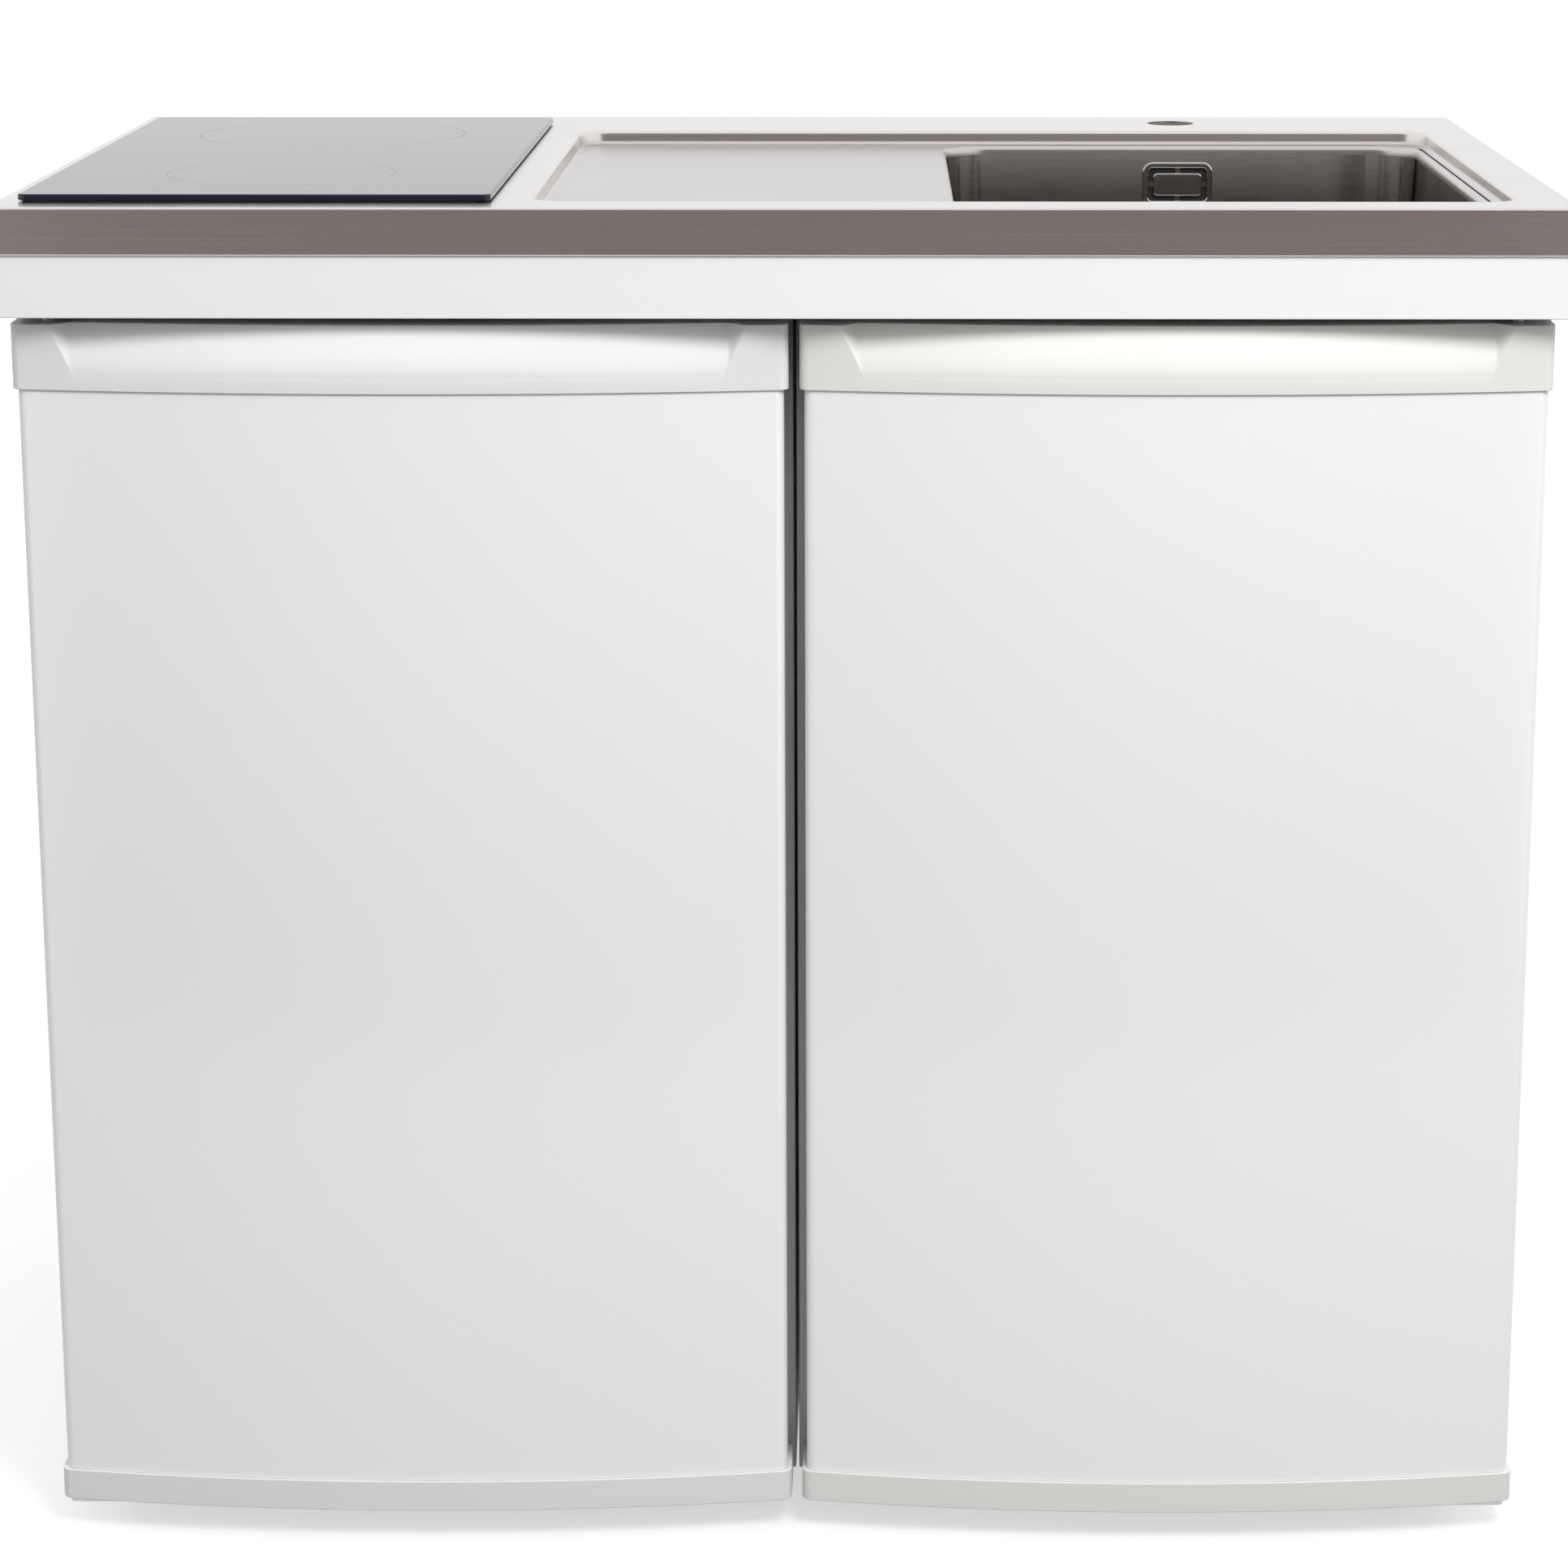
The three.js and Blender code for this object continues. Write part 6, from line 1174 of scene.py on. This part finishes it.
class KITCHENETTE_OT_finishes(bpy.types.Operator):
    """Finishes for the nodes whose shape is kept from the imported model"""

    bl_idname = "kitchenette.finishes"
    bl_label = "Finishes"

    def execute(self, context):
        for slot, nodes in CARRIED_OVER.items():
            for name in nodes:
                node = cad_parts[name]
                for place in node.material_slots:
                    place.material = finish(slot)
                if name in EASED:
                    node.modifiers.new("Welded corners", "WELD").merge_threshold = 1e-6
                    edge = node.modifiers.new("Eased edges", "BEVEL")
                    edge.width = EASED[name]
                    edge.segments = 3
                    edge.limit_method = "ANGLE"
                    edge.angle_limit = EASED_ANGLE
                    edge.harden_normals = True
        return {"FINISHED"}


# ----------------------------------------------------------
# Stage
# ----------------------------------------------------------

LENS_SHIFT = (-0.04, -0.11)
KEY_PLACE, KEY_TARGET = Vector((0.9, -1.9, 2.6)), Vector((0.0, -0.3, 0.75))
KEY_SIZE = 1.0
FLOOR_REACH = 30.0
FLAG = (1.0, -1.3, 2.2)                       # half its width, its y, its height
FLAG_COLOUR = (0.235, 0.205, 0.19)


def background_rays(shader):
    """1 for rays that should see the plain background: from the camera, off metal and through glass."""
    outputs = shader.node("ShaderNodeLightPath").output.node.outputs
    camera, glossy, transmission = (
        Wire(shader, outputs[f"Is {kind} Ray"]) for kind in ("Camera", "Glossy", "Transmission"))
    return camera.greatest(glossy).greatest(transmission)


def floor_material():
    """White floor that keeps the object's shadow.

    It brightens itself where the background is seen, more so away from the object, and throws little light
    back up.
    """
    shader = Shader(bpy.data.materials.new("studio_floor"))
    seen = background_rays(shader)
    x, y, _ = shader.axes()
    away = (x ** 2 + y ** 2) ** 0.5
    own = seen * (0.80 - away.below(1.5, 0.9) * 0.20)
    return shader.surface(
        Base_Color=shader.tint(seen, (0.12, 0.12, 0.12), (0.45, 0.45, 0.45)), Roughness=0.9,
        Emission_Color=(1.0, 1.0, 1.0, 1.0), Emission_Strength=own)


def flag_material():
    """A plain unlit card."""
    shader = Shader(bpy.data.materials.new("flag_card"))
    card = shader.node("ShaderNodeEmission", inputs={"Color": (*FLAG_COLOUR, 1.0), "Strength": 1.0})
    shader.node("ShaderNodeOutputMaterial", inputs={"Surface": card})
    return shader.owner


class KITCHENETTE_OT_stage(bpy.types.Operator):
    """Camera, floor, background and lights"""

    bl_idname = "kitchenette.stage"
    bl_label = "Stage"

    def execute(self, context):
        studio = context.scene.kitchenette_studio
        self.camera(context, studio)
        self.world(context, studio)
        self.lights(context, studio)
        self.sheets(context)
        context.scene.view_settings.view_transform = "Standard"
        return {"FINISHED"}

    @staticmethod
    def camera(context, studio):
        """The photograph was taken level and cropped low. A small shift and a tilt come near to that."""
        data = bpy.data.cameras.new("Camera")
        data.lens = studio.lens
        data.sensor_width = 36.0
        data.shift_x, data.shift_y = LENS_SHIFT
        camera = bpy.data.objects.new("Camera", data)
        camera.location = studio.eye
        camera.rotation_euler = (math.pi / 2 - studio.tilt, 0.0, studio.turn)
        context.scene.collection.objects.link(camera)
        context.scene.camera = camera

    @staticmethod
    def world(context, studio):
        shader = Shader(bpy.data.worlds.new("studio"))
        seen = background_rays(shader)
        light = shader.tint(seen, (studio.ambient,) * 3, (1.0, 1.0, 1.0))
        sky = shader.node("ShaderNodeBackground", inputs={"Color": light, "Strength": 1.0})
        shader.node("ShaderNodeOutputWorld", inputs={"Surface": sky})
        context.scene.world = shader.owner

    @staticmethod
    def lights(context, studio):
        """One large soft light, high in front at the right, aimed at the doors' upper part."""
        panel = bpy.data.lights.new("Key", "AREA")
        panel.shape = "SQUARE"
        panel.size = KEY_SIZE
        panel.energy = studio.key
        key = bpy.data.objects.new("Key", panel)
        key.location = KEY_PLACE
        key.rotation_euler = (KEY_TARGET - KEY_PLACE).to_track_quat("-Z", "Y").to_euler()
        key.visible_glossy = False
        context.scene.collection.objects.link(key)

    @staticmethod
    def sheet(context, name, corners, material):
        """Adds a flat four-sided sheet with one material."""
        skin = Skin().add(np.array(corners), np.array([[0, 1, 2, 3]]))
        sheet = bpy.data.objects.new(name, skin.mesh(name))
        sheet.data.materials.append(material)
        context.scene.collection.objects.link(sheet)
        return sheet

    def sheets(self, context):
        """The floor, and the flag card in front, which only reflections see."""
        reach = FLOOR_REACH
        corners = [(-reach, -reach, 0.0), (reach, -reach, 0.0), (reach, reach, 0.0), (-reach, reach, 0.0)]
        floor = self.sheet(context, "floor", corners, floor_material())
        half, y, top = FLAG
        corners = [(-half, y, 0.0), (half, y, 0.0), (half, y, top), (-half, y, top)]
        flag = self.sheet(context, "flag", corners, flag_material())
        for kind in ("camera", "diffuse", "transmission", "volume_scatter", "shadow"):
            setattr(flag, f"visible_{kind}", False)


class KITCHENETTE_PT_panel(bpy.types.Panel):
    """Sidebar list of the kitchenette's pieces and settings"""

    bl_idname = "KITCHENETTE_PT_panel"
    bl_label = "Kitchenette"
    bl_space_type = "VIEW_3D"
    bl_region_type = "UI"
    bl_category = "Kitchenette"

    def draw(self, context):
        for operator in OPERATORS:
            self.layout.operator(operator.bl_idname)
        for group in (context.scene.kitchenette_sizes, context.scene.kitchenette_colours,
                      context.scene.kitchenette_studio):
            box = self.layout.box()
            for name in group.__annotations__:
                box.prop(group, name)


SETTINGS = {
    "kitchenette_sizes": KitchenetteSizes,
    "kitchenette_colours": KitchenetteColours,
    "kitchenette_studio": KitchenetteStudio,
}
OPERATORS = (
    KITCHENETTE_OT_stage, KITCHENETTE_OT_worktop, KITCHENETTE_OT_bowl, KITCHENETTE_OT_overflow,
    KITCHENETTE_OT_waste, KITCHENETTE_OT_drain, KITCHENETTE_OT_hob, KITCHENETTE_OT_doors,
    KITCHENETTE_OT_condenser, KITCHENETTE_OT_compressor, KITCHENETTE_OT_fittings, KITCHENETTE_OT_finishes,
)


def register():
    for cls in (*SETTINGS.values(), *OPERATORS, KITCHENETTE_PT_panel):
        bpy.utils.register_class(cls)
    for name, group in SETTINGS.items():
        setattr(bpy.types.Scene, name, PointerProperty(type=group))


def unregister():
    for name in SETTINGS:
        delattr(bpy.types.Scene, name)
    for cls in (KITCHENETTE_PT_panel, *reversed(OPERATORS), *SETTINGS.values()):
        bpy.utils.unregister_class(cls)


def main():
    register()
    for operator in OPERATORS:
        group, name = operator.bl_idname.split(".")
        getattr(getattr(bpy.ops, group), name)()


if __name__ == "__main__":
    main()
